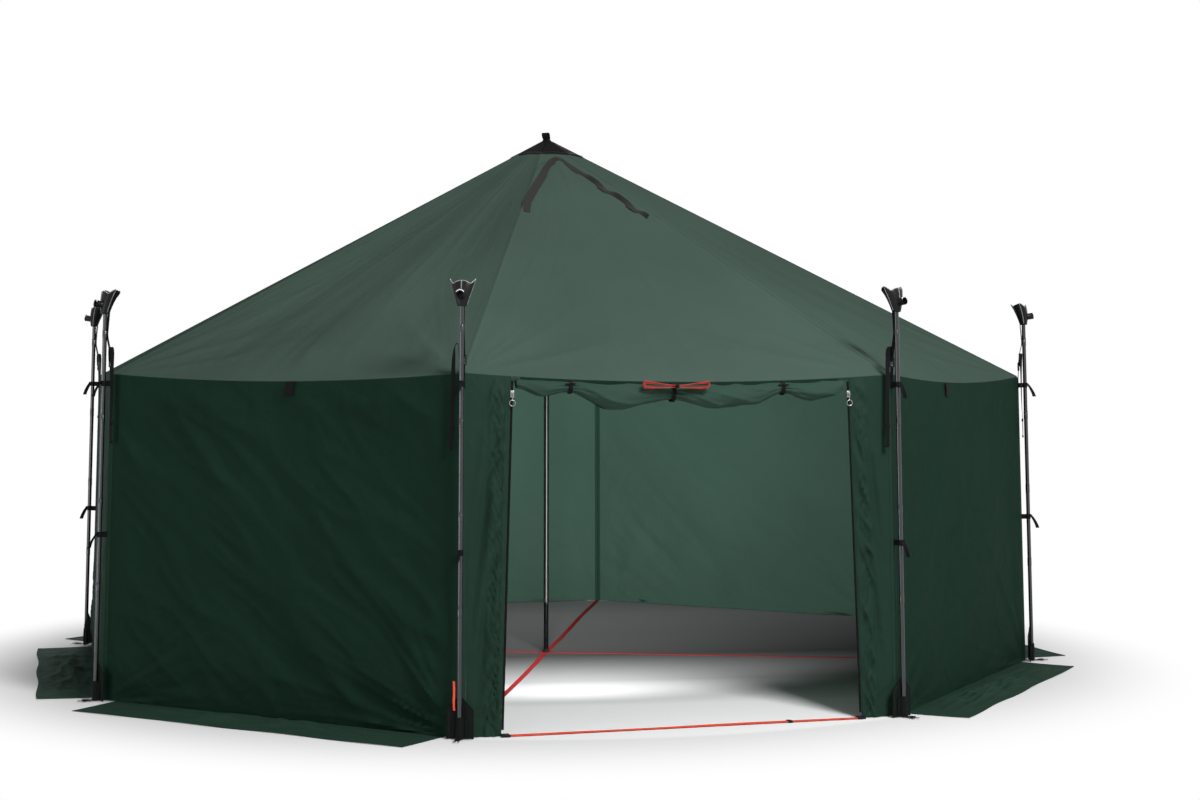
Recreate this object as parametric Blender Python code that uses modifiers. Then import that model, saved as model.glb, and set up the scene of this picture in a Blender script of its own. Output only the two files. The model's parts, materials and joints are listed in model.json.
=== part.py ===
# Eight-sided group tent with a centre pole, wall poles, a rolled-up door and lashed corners.
# Metres, +Z up. The origin is on the ground under the apex. The door bay faces -Y.
import math

import bmesh
import bpy
from mathutils import Matrix, Vector

# Overall form
SIDES = 8
EAVE_HEIGHT = 1.200
APEX_HEIGHT = 2.220
WALL_FOOT_RADIUS = 2.045
WALL_LEAN = 0.034
EAVE_SAG = 0.028

# Cloth and webbing
GAP = 0.0003
CLOTH = 0.0020
WEBBING = 0.0020
SEAM_REACH = 0.015
GORE_COLUMNS = 5
ROOF_ROWS = 6
ROOF_SLACK = 0.012
ROOF_FOLD = 0.007
WALL_FOLD = 0.012
SKIRT_WIDTH = 0.235
SKIRT_START = 0.062
SKIRT_CUT_IN = 0.075
SKIRT_RIPPLE = 0.006

# Wall poles, in the leaning frame of each wall corner
POLE_RADIUS = 0.0080
POLE_STAND_OFF = 0.030
POLE_SECTION = 0.310
POLE_FERRULE_LENGTH = 0.034
POLE_FERRULE_STEP = 0.0008
POLE_TIP_LENGTH = 0.020
POLE_FOOT_HEIGHT = 0.0035
POLE_FACETS = 8

# Pole top fitting with its hoist strap; the dish is the middle of its hollow top
CUP_BASE_HEIGHT = 1.420
POLE_IN_CUP = 0.020
CUP_HEIGHT = 0.090
CUP_NECK_RADIUS = 0.0140
CUP_HALF_WIDTH = 0.042
CUP_HALF_DEPTH = 0.032
CUP_LEAN_BACK = 0.020
CUP_SCALLOP = 0.012
CUP_FRONT_DROP = 0.006
CUP_DISH = (-0.018, 0.066)
CUP_COLUMNS = 8
SPOUT_RADIUS = 0.014
SPOUT_WALL = 0.0024
SPOUT_LENGTH = 0.026
SPOUT_HEIGHT = 0.034
SPOUT_PITCH = math.radians(82)
HOIST_WIDTH = 0.015

# Corner lashing: seam tape, boot, pole wraps, buckle and pegging ring
BOOT_WIDTH = 0.090
BOOT_HEIGHT = 0.142
BOOT_SHOULDER = 0.098
BOOT_PANEL = 0.0030
BOOT_POCKET_HEIGHT = 0.073
BOOT_POCKET_WALL = 0.0026
WRAP_HEIGHTS = (0.610, 1.165)
WRAP_BAND = 0.020
WRAP_WALL = 0.0020
WRAP_TAIL_LENGTH = 0.060
WRAP_TAIL_WIDTH = 0.011
WRAP_TAIL_TURN = math.radians(28)
BUCKLE_SIZE = (0.024, 0.0054, 0.034)
BUCKLE_HEIGHT = 1.243
BUCKLE_OUT = 0.0045
BUCKLE_NECK = (0.014, 1.150, 1.190)
TAIL_ARCH_HEIGHT = 0.055
TAIL_DROP_TO = 0.945
TAIL_REACH = 0.030
TAIL_RIGHT_CORNERS = ("left_front",)
TAIL_OUT = 0.012
KEEPER_HEIGHT = 1.018
PEG_STRAP_WIDTH = 0.016
PEG_STRAP_END = 0.078
PEG_RING_RADIUS = 0.0100
PEG_RING_WIRE = 0.0014

# Centre pole
CENTRE_FACETS = 16
CENTRE_TUBE_RADIUS = 0.0120
CENTRE_TUBE_BORE = 0.0105
CENTRE_BORE_TOP = 0.640
CENTRE_TUBE_BOTTOM = 0.2185
CENTRE_FERRULE_HEIGHT = 1.210
LEG_RADIUS = 0.0102
LEG_BORE = 0.0087
LEG_TOP = 0.560
LEG_FOOT_RADIUS = 0.0130
LEG_FOOT_HEIGHT = 0.014
LEG_HOLE_TOP = 0.2130
LEG_HOLE_PITCH = 0.077
LEG_HOLE_COUNT = 3
LEG_HOLE_RADIUS = 0.0043
BUTTON_RADIUS = 0.0040
BUTTON_PROUD = 0.0034
BUTTON_FLANGE_RADIUS = 0.0058
BUTTON_FLANGE = 0.0010

# Apex
ROOF_TOP_RADIUS = 0.0150
CAP_RADIUS = 0.138
CROWN_RADIUS = 0.0190
CROWN_HEIGHT = 0.008
LOOP_SIZE = (0.034, 0.006, 0.034)
LOOP_EYE = (0.020, 0.018)
LOOP_EYE_HEIGHT = 0.020

# Roof vent, on the front roof face; distances run down the slope from the apex
VENT_TOP = 0.262
VENT_BOTTOM = 0.800
VENT_HALF_WIDTH_TOP = 0.060
VENT_HALF_WIDTH = 0.255
VENT_RISE = 0.045
VENT_HOLE = (0.110, 0.330, 0.480)

# Doorway
ZIP_TOP_X = 0.603
ZIP_BOTTOM_X = 0.642
ZIP_TOP_HEIGHT = 1.176
ZIP_BOTTOM_HEIGHT = 0.020
ZIP_WIDTH = 0.008
ZIP_THICKNESS = 0.0030
PANEL_FOLD = 0.006
SLIDER_HEIGHT = 0.024
SLIDER_REST = 0.045
SLIDER_WALL = 0.0026
SLIDER_LUG = 0.0085
PULL_EYE_RADIUS = 0.0034
PULL_EYE_WIRE = 0.0010
PULL_PIN_RADIUS = 0.0010
PULL_RING_RADIUS = 0.0100
PULL_RING_WIRE = 0.0014
PULL_LENGTH = 0.016

# Rolled-up door: place along the bay, then the roll's radius there
ROLL_STATIONS = (
    (-0.588, 0.018), (-0.500, 0.029), (-0.406, 0.020), (-0.262, 0.048), (-0.045, 0.030),
    (0.110, 0.044), (0.250, 0.039), (0.356, 0.021), (0.465, 0.036), (0.545, 0.030), (0.580, 0.018),
)
TIE_PLACES = {"left": -0.406, "centre": -0.045, "right": 0.356}
TIE_BAND = 0.012
TIE_WALL = 0.0020
TIE_HANGER = (0.004, 0.004)
TIE_FACETS = 16
TOGGLE_LENGTH = 0.036
TOGGLE_RADIUS = 0.0035
TOGGLE_TURN = math.radians(32)

# Spare guy line, stored as a hank on the roll
CORD_RADIUS = 0.0015
HANK_HALF_LENGTH = 0.117
HANK_LOBE = 0.0105
HANK_WAIST = 0.0036
HANK_LOOPS = 6
HANK_PITCH = 0.0037
HANK_LOOP_POINTS = 24
HANK_BEND_SHARE = 2 / 3
HANK_DROP = 0.004
HANK_STAND_OFF = 0.0040
HANK_BELOW_TOP = 0.009

# Floor webbing
STRAP_WIDTH = 0.020
STRAP_HUB_RADIUS = 0.034
SILL_RAISE = 0.0030
SILL_BUCKLE_SIZE = (0.030, 0.026, 0.0090)
SILL_SLIDER_X = 0.370
SILL_SLIDER_LENGTH = 0.016
SILL_SLIDER_WALL = 0.0025

# Values that follow from the driving sizes
CORNERS = (
    "front_left", "front_right", "right_front", "right_back",
    "back_right", "back_left", "left_back", "left_front",
)
BAYS = ("door", "front_right", "right", "back_right", "back", "back_left", "left", "front_left")
SECTOR = 2 * math.pi / SIDES
FIRST_CORNER = -math.pi / 2 - SECTOR / 2
EAVE_RADIUS = WALL_FOOT_RADIUS - WALL_LEAN
POLE_HEIGHT = CUP_BASE_HEIGHT + POLE_IN_CUP
CORNER_LEAN = math.atan2(WALL_LEAN, EAVE_HEIGHT)
ROOF_SLOPE = math.atan2(APEX_HEIGHT - EAVE_HEIGHT, EAVE_RADIUS * math.cos(SECTOR / 2))
ROOF_UNDER = CLOTH / 2 / math.cos(ROOF_SLOPE) + GAP
WALL_BOTTOM = CLOTH + GAP


def make_material(name, colour, roughness, metallic=0.0):
    """Return a Principled material of one colour."""
    material = bpy.data.materials.new(name)
    material.use_nodes = True
    shader = material.node_tree.nodes["Principled BSDF"]
    shader.inputs["Base Color"].default_value = (*colour, 1.0)
    shader.inputs["Roughness"].default_value = roughness
    shader.inputs["Metallic"].default_value = metallic
    return material


def link(name, mesh, collection, matrix=None):
    """Make an object from a mesh, or from curve data, and put it in a collection."""
    item = bpy.data.objects.new(name, mesh)
    collection.objects.link(item)
    if matrix is not None:
        item.matrix_world = matrix
    return item


def mesh_from(bm, name):
    """Turn a bmesh into mesh data with its faces pointing out."""
    bmesh.ops.recalc_face_normals(bm, faces=bm.faces)
    mesh = bpy.data.meshes.new(name)
    bm.to_mesh(mesh)
    bm.free()
    return mesh


def evaluated_mesh(item, name):
    """Return the mesh of an object or curve as its modifiers leave it, with loose caps welded."""
    bpy.context.view_layer.update()
    graph = bpy.context.evaluated_depsgraph_get()
    mesh = bpy.data.meshes.new_from_object(item.evaluated_get(graph))
    mesh.name = name
    bm = bmesh.new()
    bm.from_mesh(mesh)
    bmesh.ops.remove_doubles(bm, verts=bm.verts, dist=1e-5)
    bmesh.ops.recalc_face_normals(bm, faces=bm.faces)
    bm.to_mesh(mesh)
    bm.free()
    return mesh


def box_mesh(name, size, centre):
    """A box of a given size about a given centre."""
    bm = bmesh.new()
    bmesh.ops.create_cube(bm, size=1.0)
    bmesh.ops.scale(bm, vec=Vector(size), verts=bm.verts)
    bmesh.ops.translate(bm, vec=Vector(centre), verts=bm.verts)
    return mesh_from(bm, name)


def rod_mesh(name, radius, length, matrix, facets=12, end_radius=None):
    """A rod or cone along its own Z, from 0 to its length, then placed by a matrix."""
    bm = bmesh.new()
    bmesh.ops.create_cone(
        bm, cap_ends=True, segments=facets, radius1=radius,
        radius2=radius if end_radius is None else end_radius, depth=length,
    )
    bmesh.ops.translate(bm, vec=(0, 0, length / 2), verts=bm.verts)
    bmesh.ops.transform(bm, matrix=matrix, verts=bm.verts)
    return mesh_from(bm, name)


def pipe_mesh(name, bore, radius, length, matrix, facets=14):
    """A short pipe along its own Z, from 0 to its length, then placed by a matrix."""
    bm = bmesh.new()
    outline = [(radius, length), (radius, 0.0), (bore, 0.0), (bore, length)]
    verts = [bm.verts.new((r, 0, z)) for r, z in outline]
    edges = [bm.edges.new((verts[i], verts[(i + 1) % len(verts)])) for i in range(len(verts))]
    bmesh.ops.spin(
        bm, geom=verts + edges, cent=(0, 0, 0), axis=(0, 0, 1),
        angle=2 * math.pi, steps=facets, use_merge=True,
    )
    bmesh.ops.remove_doubles(bm, verts=bm.verts, dist=1e-6)
    bmesh.ops.transform(bm, matrix=matrix, verts=bm.verts)
    return mesh_from(bm, name)


def turned_mesh(name, outline, facets):
    """A solid of revolution about Z from a list of (radius, height) that starts and ends on the axis."""
    bm = bmesh.new()
    verts = [bm.verts.new((r, 0, z)) for r, z in outline]
    edges = [bm.edges.new(pair) for pair in zip(verts, verts[1:])]
    bmesh.ops.spin(
        bm, geom=verts + edges, cent=(0, 0, 0), axis=(0, 0, 1),
        angle=2 * math.pi, steps=facets, use_merge=True,
    )
    bmesh.ops.remove_doubles(bm, verts=bm.verts, dist=1e-6)
    mesh = mesh_from(bm, name)
    mesh.shade_smooth()
    mesh.set_sharp_from_angle(angle=math.radians(35))
    return mesh


def ring_mesh(name, radius, wire, matrix, steps=18, facets=6):
    """A closed wire ring in its own XY plane, then placed by a matrix."""
    bm = bmesh.new()
    circle = bmesh.ops.create_circle(bm, cap_ends=False, segments=facets, radius=wire)["verts"]
    bmesh.ops.rotate(bm, cent=(0, 0, 0), matrix=Matrix.Rotation(math.pi / 2, 3, "X"), verts=circle)
    bmesh.ops.translate(bm, vec=(radius, 0, 0), verts=circle)
    bmesh.ops.spin(
        bm, geom=bm.verts[:] + bm.edges[:], cent=(0, 0, 0), axis=(0, 0, 1),
        angle=2 * math.pi, steps=steps, use_merge=True,
    )
    bmesh.ops.remove_doubles(bm, verts=bm.verts, dist=1e-6)
    bmesh.ops.transform(bm, matrix=matrix, verts=bm.verts)
    mesh = mesh_from(bm, name)
    mesh.shade_smooth()
    return mesh


def plate_mesh(name, outline, thickness, matrix):
    """A flat plate: an outline in its own XY plane, raised by its thickness, then placed by a matrix."""
    bm = bmesh.new()
    face = bm.faces.new([bm.verts.new((x, y, 0)) for x, y in outline])
    grown = bmesh.ops.extrude_face_region(bm, geom=[face])
    top = [item for item in grown["geom"] if isinstance(item, bmesh.types.BMVert)]
    bmesh.ops.translate(bm, vec=(0, 0, thickness), verts=top)
    bmesh.ops.transform(bm, matrix=matrix, verts=bm.verts)
    return mesh_from(bm, name)


def ribbon_mesh(name, points, width, thickness, matrix):
    """A strap: a path in its own XY plane, as wide as given along its Z, then placed by a matrix."""
    curve = bpy.data.curves.new(name, "CURVE")
    curve.dimensions = "3D"
    curve.extrude = width / 2
    spline = curve.splines.new("POLY")
    spline.points.add(len(points) - 1)
    for point, (x, y) in zip(spline.points, points):
        point.co = (x, y, 0, 1)
    item = link(name, curve, guides)
    thicken(item, thickness)
    mesh = evaluated_mesh(item, name)
    bpy.data.objects.remove(item)
    mesh.transform(matrix)
    return mesh


def sheet_mesh(name, columns, rows, place, wrap=False):
    """A cloth surface: a flat grid whose points are moved to place(u, v), with u and v from 0 to 1."""
    bm = bmesh.new()
    bmesh.ops.create_grid(bm, x_segments=columns, y_segments=rows, size=0.5)
    for vert in bm.verts:
        vert.co = place(vert.co.x + 0.5, vert.co.y + 0.5)
    if wrap:
        bmesh.ops.remove_doubles(bm, verts=bm.verts, dist=1e-5)
        slivers = [face for face in bm.faces if face.calc_area() < 1e-12]
        bmesh.ops.delete(bm, geom=slivers, context="FACES")
    mesh = bpy.data.meshes.new(name)
    bm.to_mesh(mesh)
    bm.free()
    return mesh


def thicken(item, thickness, offset=0.0):
    """Give a surface its cloth or webbing thickness, half to each side unless an offset is given."""
    solid = item.modifiers.new("Thickness", "SOLIDIFY")
    solid.thickness = thickness
    solid.offset = offset
    solid.use_even_offset = True


def cut(item, mesh, name):
    """Take a cutter's shape out of an object."""
    cutter = link(name, mesh, guides)
    cutter.hide_render = True
    cutter.display_type = "WIRE"
    boolean = item.modifiers.new(name, "BOOLEAN")
    boolean.operation = "DIFFERENCE"
    boolean.object = cutter


def fused(name, meshes):
    """Join overlapping meshes, one after another, into the mesh of one solid."""
    solid = meshes[0]
    for mesh in meshes[1:]:
        base, other = link(name, solid, guides), link(f"{name}_joined", mesh, guides)
        boolean = base.modifiers.new("Join", "BOOLEAN")
        boolean.operation = "UNION"
        boolean.object = other
        solid = evaluated_mesh(base, name)
        bpy.data.objects.remove(base)
        bpy.data.objects.remove(other)
    return solid


def carved(name, mesh, cutter):
    """Take a cutter's shape out of the mesh of one solid."""
    item = link(name, mesh, guides)
    cut(item, cutter, f"{name}_cutter")
    solid = evaluated_mesh(item, name)
    bpy.data.objects.remove(item)
    return solid


def part(name, mesh, material, matrix=None):
    """Add one named piece of the tent."""
    if not mesh.materials:
        mesh.materials.append(material)
    return link(name, mesh, tent, matrix)


def smooth_step(t):
    """Ease from 0 to 1."""
    t = min(1.0, max(0.0, t))
    return t * t * (3 - 2 * t)


def corner_angle(corner):
    """The angle of a wall corner about the apex."""
    return FIRST_CORNER + corner * SECTOR


def corner_frame(corner):
    """A wall corner's frame: X along the eave, Y outward, Z up the leaning corner edge."""
    return (
        Matrix.Rotation(corner_angle(corner) - math.pi / 2, 4, "Z")
        @ Matrix.Translation((0, WALL_FOOT_RADIUS, 0))
        @ Matrix.Rotation(CORNER_LEAN, 4, "X")
    )


def edge_point(corner, height):
    """A point on a wall corner's leaning edge at a height."""
    radius = WALL_FOOT_RADIUS - WALL_LEAN * height / EAVE_HEIGHT
    angle = corner_angle(corner)
    return Vector((radius * math.cos(angle), radius * math.sin(angle), height))


def eave_height(u):
    """The eave's height along a bay: it hangs lower between the corners, in straight runs."""
    column = min(int(u * GORE_COLUMNS), GORE_COLUMNS - 1)
    first, last = column / GORE_COLUMNS, (column + 1) / GORE_COLUMNS
    low, high = (EAVE_HEIGHT - EAVE_SAG * 4 * end * (1 - end) for end in (first, last))
    return low + (high - low) * (u - first) * GORE_COLUMNS


def bay_normal(bay):
    """The level outward direction of a bay."""
    angle = corner_angle(bay) + SECTOR / 2
    return Vector((math.cos(angle), math.sin(angle), 0))


def wall_place(bay, along, height, push=0.0):
    """A point on a bay's wall, at a share of its width and a height, pushed outward."""
    left, right = edge_point(bay, height), edge_point(bay + 1, height)
    return left.lerp(right, along) + bay_normal(bay) * push


def bay_width(height):
    """The width of a bay's wall at a height."""
    return (edge_point(0, height) - edge_point(1, height)).length


def wall_fold(bay, u, v):
    """Folds of a wall panel: slack that runs down from one eave corner and a fan at the foot."""
    still = math.sin(math.pi * u) * math.sin(math.pi * min(1.0, v * 1.08)) ** 0.6
    slant = math.sin(2 * math.pi * (1.15 * u + 0.75 * v) + bay)
    fan = 0.5 * math.sin(2 * math.pi * (2.2 * u - 1.4 * v) + 2.1 * bay)
    return WALL_FOLD * still * (slant + fan) / 1.5


def roof_place(u, v, rise=0.0):
    """A point on the roof: u goes round from the first corner, v from the eave to the top ring."""
    turn = u * SIDES
    gore = min(int(turn), SIDES - 1)
    along = turn - gore
    foot = wall_place(gore, along, EAVE_HEIGHT)
    foot.z = eave_height(along)
    top = Vector((foot.x, foot.y, 0)) * (ROOF_TOP_RADIUS / EAVE_RADIUS)
    top.z = APEX_HEIGHT
    point = foot.lerp(top, v)
    top_row = 1 - 1 / ROOF_ROWS
    if gore != 0 and v < top_row:
        slack = math.sin(math.pi * along) * math.sin(math.pi * v / top_row)
        folds = ROOF_FOLD * math.sin(7 * math.pi * along + gore) * (1 - v)
        point.z += slack * (folds - ROOF_SLACK)
    point.z += rise
    return point


def front_roof_height(x, down):
    """The height of the front roof face, at a place across it and a distance down the slope."""
    run = EAVE_RADIUS * math.cos(SECTOR / 2)
    slope_length = math.hypot(run, APEX_HEIGHT - EAVE_HEIGHT)
    v = 1 - down / slope_length
    width = bay_width(EAVE_HEIGHT) * (1 - v)
    along = 0.5 + x / max(width, 1e-6)
    return roof_place(min(1.0, max(0.0, along)) / SIDES, v)


def make_roof():
    """The roof sheet, with its vent hole in the front face."""
    mesh = sheet_mesh("roof", SIDES * GORE_COLUMNS, ROOF_ROWS, roof_place, wrap=True)
    roof = part("roof", mesh, green_light)
    thicken(roof, CLOTH)
    width, first, last = VENT_HOLE
    centre = front_roof_height(0.0, (first + last) / 2)
    cutter = box_mesh("vent_hole", (width, last - first, 0.2), centre)
    cut(roof, cutter, "vent_hole")


def make_apex_cap():
    """The reinforcement over the apex, with the lifting loop sewn on top."""
    rise = (CLOTH + GAP) / math.cos(ROOF_SLOPE)
    share = 1 - CAP_RADIUS / EAVE_RADIUS
    mesh = sheet_mesh(
        "apex_cap", SIDES, 1,
        lambda u, v: roof_place(u, share + (1 - share) * v, rise), wrap=True,
    )
    cone = link("cap_cone", mesh, guides)
    thicken(cone, CLOTH)
    cone_mesh = evaluated_mesh(cone, "cap_cone")
    bpy.data.objects.remove(cone)
    width, depth, height = LOOP_SIZE
    crown = rod_mesh(
        "crown", CROWN_RADIUS, CROWN_HEIGHT, Matrix.Translation((0, 0, APEX_HEIGHT + ROOF_UNDER)), facets=16,
        end_radius=CROWN_RADIUS * 0.65,
    )
    base = APEX_HEIGHT + ROOF_UNDER + 0.001
    loop = box_mesh("loop", LOOP_SIZE, (0, 0, base + height / 2))
    solid = part("apex_cap", fused("apex_cap", [cone_mesh, crown, loop]), black_webbing)
    eye = box_mesh("loop_eye", (LOOP_EYE[0], depth * 3, LOOP_EYE[1]), (0, 0, base + LOOP_EYE_HEIGHT))
    cut(solid, eye, "loop_eye")


def make_vent_hood():
    """The vent's hood: a sheet on the front roof face that stands up into a mouth at its top end."""
    lift = (CLOTH + 2 * GAP) / math.cos(ROOF_SLOPE)

    def place(u, v):
        down = VENT_TOP + (VENT_BOTTOM - VENT_TOP) * v
        half = VENT_HALF_WIDTH_TOP + (VENT_HALF_WIDTH - VENT_HALF_WIDTH_TOP) * v ** 0.75
        across = 2 * u - 1
        point = front_roof_height(across * half, down)
        peak = max(0.0, 1 - abs(across)) ** 1.2 * (1 - v) ** 1.3
        point.z += lift + VENT_RISE * peak
        return point

    hood = part("vent_hood", sheet_mesh("vent_hood", 10, 6, place), green_light)
    thicken(hood, CLOTH)


def make_walls():
    """The seven closed bays' wall panels, each between two corner seams."""
    for bay in range(1, SIDES):
        def place(u, v, bay=bay):
            margin = (SEAM_REACH + GAP) / bay_width(EAVE_HEIGHT * v)
            along = min(max(u, margin), 1 - margin)
            top = eave_height(along) - ROOF_UNDER
            height = WALL_BOTTOM + (top - WALL_BOTTOM) * v
            return wall_place(bay, along, height, wall_fold(bay, u, v))
        name = f"wall_{BAYS[bay]}"
        wall = part(name, sheet_mesh(name, 2 * GORE_COLUMNS, 6, place), green_dark)
        thicken(wall, CLOTH)


def make_skirts():
    """The flaps that lie on the ground outside the closed bays."""
    for bay in range(1, SIDES):
        def place(u, v, bay=bay):
            width = bay_width(0)
            margin = (SKIRT_START + (SKIRT_CUT_IN - SKIRT_START) * v) / width
            point = wall_place(bay, margin + (1 - 2 * margin) * u, 0, SKIRT_WIDTH * v - CLOTH)
            wave = math.sin(math.pi * u) * math.sin(math.pi * v) ** 2
            ripple = 0.5 + 0.5 * math.sin(9 * math.pi * u + 2 * bay + 3 * v)
            point.z = CLOTH / 2 + SKIRT_RIPPLE * wave * ripple
            return point
        name = f"skirt_{BAYS[bay]}"
        skirt = part(name, sheet_mesh(name, 8, 2, place), green_skirt)
        thicken(skirt, CLOTH)


def zip_x(height):
    """The zip line's distance from the doorway's middle at a height."""
    share = (height - ZIP_BOTTOM_HEIGHT) / (ZIP_TOP_HEIGHT - ZIP_BOTTOM_HEIGHT)
    return ZIP_BOTTOM_X + (ZIP_TOP_X - ZIP_BOTTOM_X) * share


def door_plane(x, height, push=0.0):
    """A point on the door bay's wall plane."""
    half = bay_width(height) / 2
    return wall_place(0, (x + half) / (2 * half), height, push)


def zip_frame(side):
    """A zip's frame: origin at its top, X towards the doorway, Y inward, Z up the zip."""
    top = door_plane(side * ZIP_TOP_X, ZIP_TOP_HEIGHT)
    bottom = door_plane(side * ZIP_BOTTOM_X, ZIP_BOTTOM_HEIGHT)
    up = (top - bottom).normalized()
    across = Vector((0, 1, 0)).cross(up).normalized()
    inward = up.cross(across)
    rotation = Matrix((across, inward, up)).transposed().to_4x4()
    return Matrix.Translation(top) @ rotation, (top - bottom).length


def make_door_panels():
    """The narrow panels between the doorway's zips and the wall corners."""
    for side, label in ((-1, "left"), (1, "right")):
        def place(u, v, side=side):
            height = EAVE_HEIGHT * v
            for _ in range(3):
                inner = zip_x(height) + ZIP_WIDTH / 2 + 2 * GAP
                outer = bay_width(height) / 2 - SEAM_REACH - GAP
                x = side * (inner + (outer - inner) * u)
                top = eave_height((1 + 2 * x / bay_width(EAVE_HEIGHT)) / 2) - ROOF_UNDER - GAP
                height = WALL_BOTTOM + (top - WALL_BOTTOM) * v
            wave = math.sin(math.pi * u) ** 2 * math.sin(math.pi * min(1, v * 1.05))
            fold = PANEL_FOLD * wave * math.sin(5 * math.pi * v + 4 * math.pi * u)
            return door_plane(x, height, fold)
        name = f"door_panel_{label}"
        panel = part(name, sheet_mesh(name, 5, 9, place), green_dark)
        thicken(panel, CLOTH)


def make_zips():
    """The two zips with their sliders and ring pulls."""
    for side, label in ((-1, "left"), (1, "right")):
        frame, length = zip_frame(side)
        tape = box_mesh(f"zip_{label}", (ZIP_WIDTH, ZIP_THICKNESS, length), (0, 0, -length / 2))
        part(f"zip_{label}", tape, black_zip, frame)
        rest = frame @ Matrix.Translation((0, 0, -SLIDER_REST))
        part(f"zip_slider_{label}", slider_mesh(label, -side), steel, rest)
        part(f"zip_pull_{label}", pull_mesh(label), steel, rest @ pull_place())


def slider_mesh(label, open_side):
    """A zip slider: a body open towards its side panel, with lugs and a pin in front."""
    half_slot = ZIP_THICKNESS / 2 + GAP
    half_width = ZIP_WIDTH / 2 + 0.002
    edge = ZIP_WIDTH / 2 + GAP
    parts = []
    for sign in (-1, 1):
        centre = sign * (half_slot + SLIDER_WALL / 2)
        size = (2 * (half_width + GAP), SLIDER_WALL, SLIDER_HEIGHT)
        parts.append(box_mesh("plate", size, (0, centre, 0)))
    depth = 2 * (half_slot + SLIDER_WALL)
    side_x = open_side * (edge + 0.0012)
    parts.append(box_mesh("side", (0.0024, depth, SLIDER_HEIGHT), (side_x, 0, 0)))
    front = -(half_slot + SLIDER_WALL)
    for sign in (-1, 1):
        middle = front - SLIDER_LUG / 2 + 0.0005
        parts.append(box_mesh("lug", (0.0016, SLIDER_LUG, 0.006), (sign * 0.003, middle, 0)))
    pin = Matrix.Translation((-0.0035, front - SLIDER_LUG + 0.0022, 0))
    pin = pin @ Matrix.Rotation(math.pi / 2, 4, "Y")
    parts.append(rod_mesh("pin", PULL_PIN_RADIUS, 0.007, pin, facets=10))
    return fused(f"zip_slider_{label}", parts)


def pull_place():
    """Where the pull's hinge pin lies in a slider's frame."""
    front = -(ZIP_THICKNESS / 2 + GAP + SLIDER_WALL)
    return Matrix.Translation((0, front - SLIDER_LUG + 0.0022, 0))


def pull_mesh(label):
    """A ring pull that hangs from a slider's pin: a small eye, a shank and a finger ring."""
    drop = PULL_EYE_RADIUS - PULL_EYE_WIRE - PULL_PIN_RADIUS - GAP
    eye_turn = Matrix.Translation((0, 0, -drop)) @ Matrix.Rotation(math.pi / 2, 4, "Y")
    eye = ring_mesh("eye", PULL_EYE_RADIUS, PULL_EYE_WIRE, eye_turn, steps=10, facets=5)
    shank_top = -drop - PULL_EYE_RADIUS
    shank = rod_mesh(
        "shank", 0.0014, PULL_LENGTH, Matrix.Translation((0, 0, shank_top - PULL_LENGTH + 0.0008)), facets=7,
    )
    ring_turn = (
        Matrix.Translation((0, 0, shank_top - PULL_LENGTH - PULL_RING_RADIUS + 0.0004))
        @ Matrix.Rotation(math.pi / 2, 4, "X")
    )
    ring = ring_mesh("ring", PULL_RING_RADIUS, PULL_RING_WIRE, ring_turn, steps=14, facets=5)
    return fused(f"zip_pull_{label}", [ring, shank, eye])


def at_tie(x):
    """A place along the roll, or the middle of the tie that it lies under."""
    near = [place for place in TIE_PLACES.values() if abs(x - place) < TIE_BAND + 0.001]
    return near[0] if near else x


def roll_radius(x):
    """The rolled door's radius at a place along the doorway."""
    x = at_tie(x)
    for (x0, r0), (x1, r1) in zip(ROLL_STATIONS, ROLL_STATIONS[1:]):
        if x <= x1:
            return r0 + (r1 - r0) * smooth_step((x - x0) / (x1 - x0))
    return ROLL_STATIONS[-1][1]


def roll_places():
    """The places along the roll where its size is set: stations, a step between them, and ties."""
    places = [x for x, _ in ROLL_STATIONS if x not in TIE_PLACES.values()]
    places += [(a[0] + b[0]) / 2 for a, b in zip(ROLL_STATIONS, ROLL_STATIONS[1:])]
    for x in TIE_PLACES.values():
        places += [x - TIE_BAND, x + TIE_BAND]
    return sorted(places)


def tie_bore(radius):
    """The bore of a tie's faceted band that just clears the roll inside it."""
    return (radius + GAP) / math.cos(math.pi / TIE_FACETS)


def roll_centre(x):
    """The middle of the rolled door, which hangs just under the eave."""
    share = 0.5 + at_tie(x) / bay_width(EAVE_HEIGHT)
    top = eave_height(share) - ROOF_UNDER - TIE_WALL - 2 * GAP
    return door_plane(x, top - tie_bore(roll_radius(x)))


def make_door_roll():
    """The rolled-up door, thick between its ties and drawn in under them."""
    curve = bpy.data.curves.new("door_roll", "CURVE")
    curve.dimensions = "3D"
    curve.bevel_depth = 1.0
    curve.bevel_resolution = 3
    curve.use_fill_caps = True
    spline = curve.splines.new("POLY")
    places = roll_places()
    spline.points.add(len(places) - 1)
    for x, point in zip(places, spline.points):
        point.co = (*roll_centre(x), 1)
        point.radius = roll_radius(x)
    curve.materials.append(green_dark)
    link("door_roll", curve, tent)


def across_frame(centre):
    """A frame whose Z runs along the doorway."""
    return Matrix.Translation(centre) @ Matrix.Rotation(math.pi / 2, 4, "Y")


def hank_centre():
    """The middle of the stored guy line, in front of the roll under its centre tie."""
    x = TIE_PLACES["centre"]
    centre = roll_centre(x)
    reach = roll_radius(x) + TIE_WALL + HANK_LOOPS * HANK_PITCH / 2 + CORD_RADIUS + HANK_STAND_OFF
    return centre + Vector((0, -reach, roll_radius(x) - HANK_BELOW_TOP))


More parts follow.
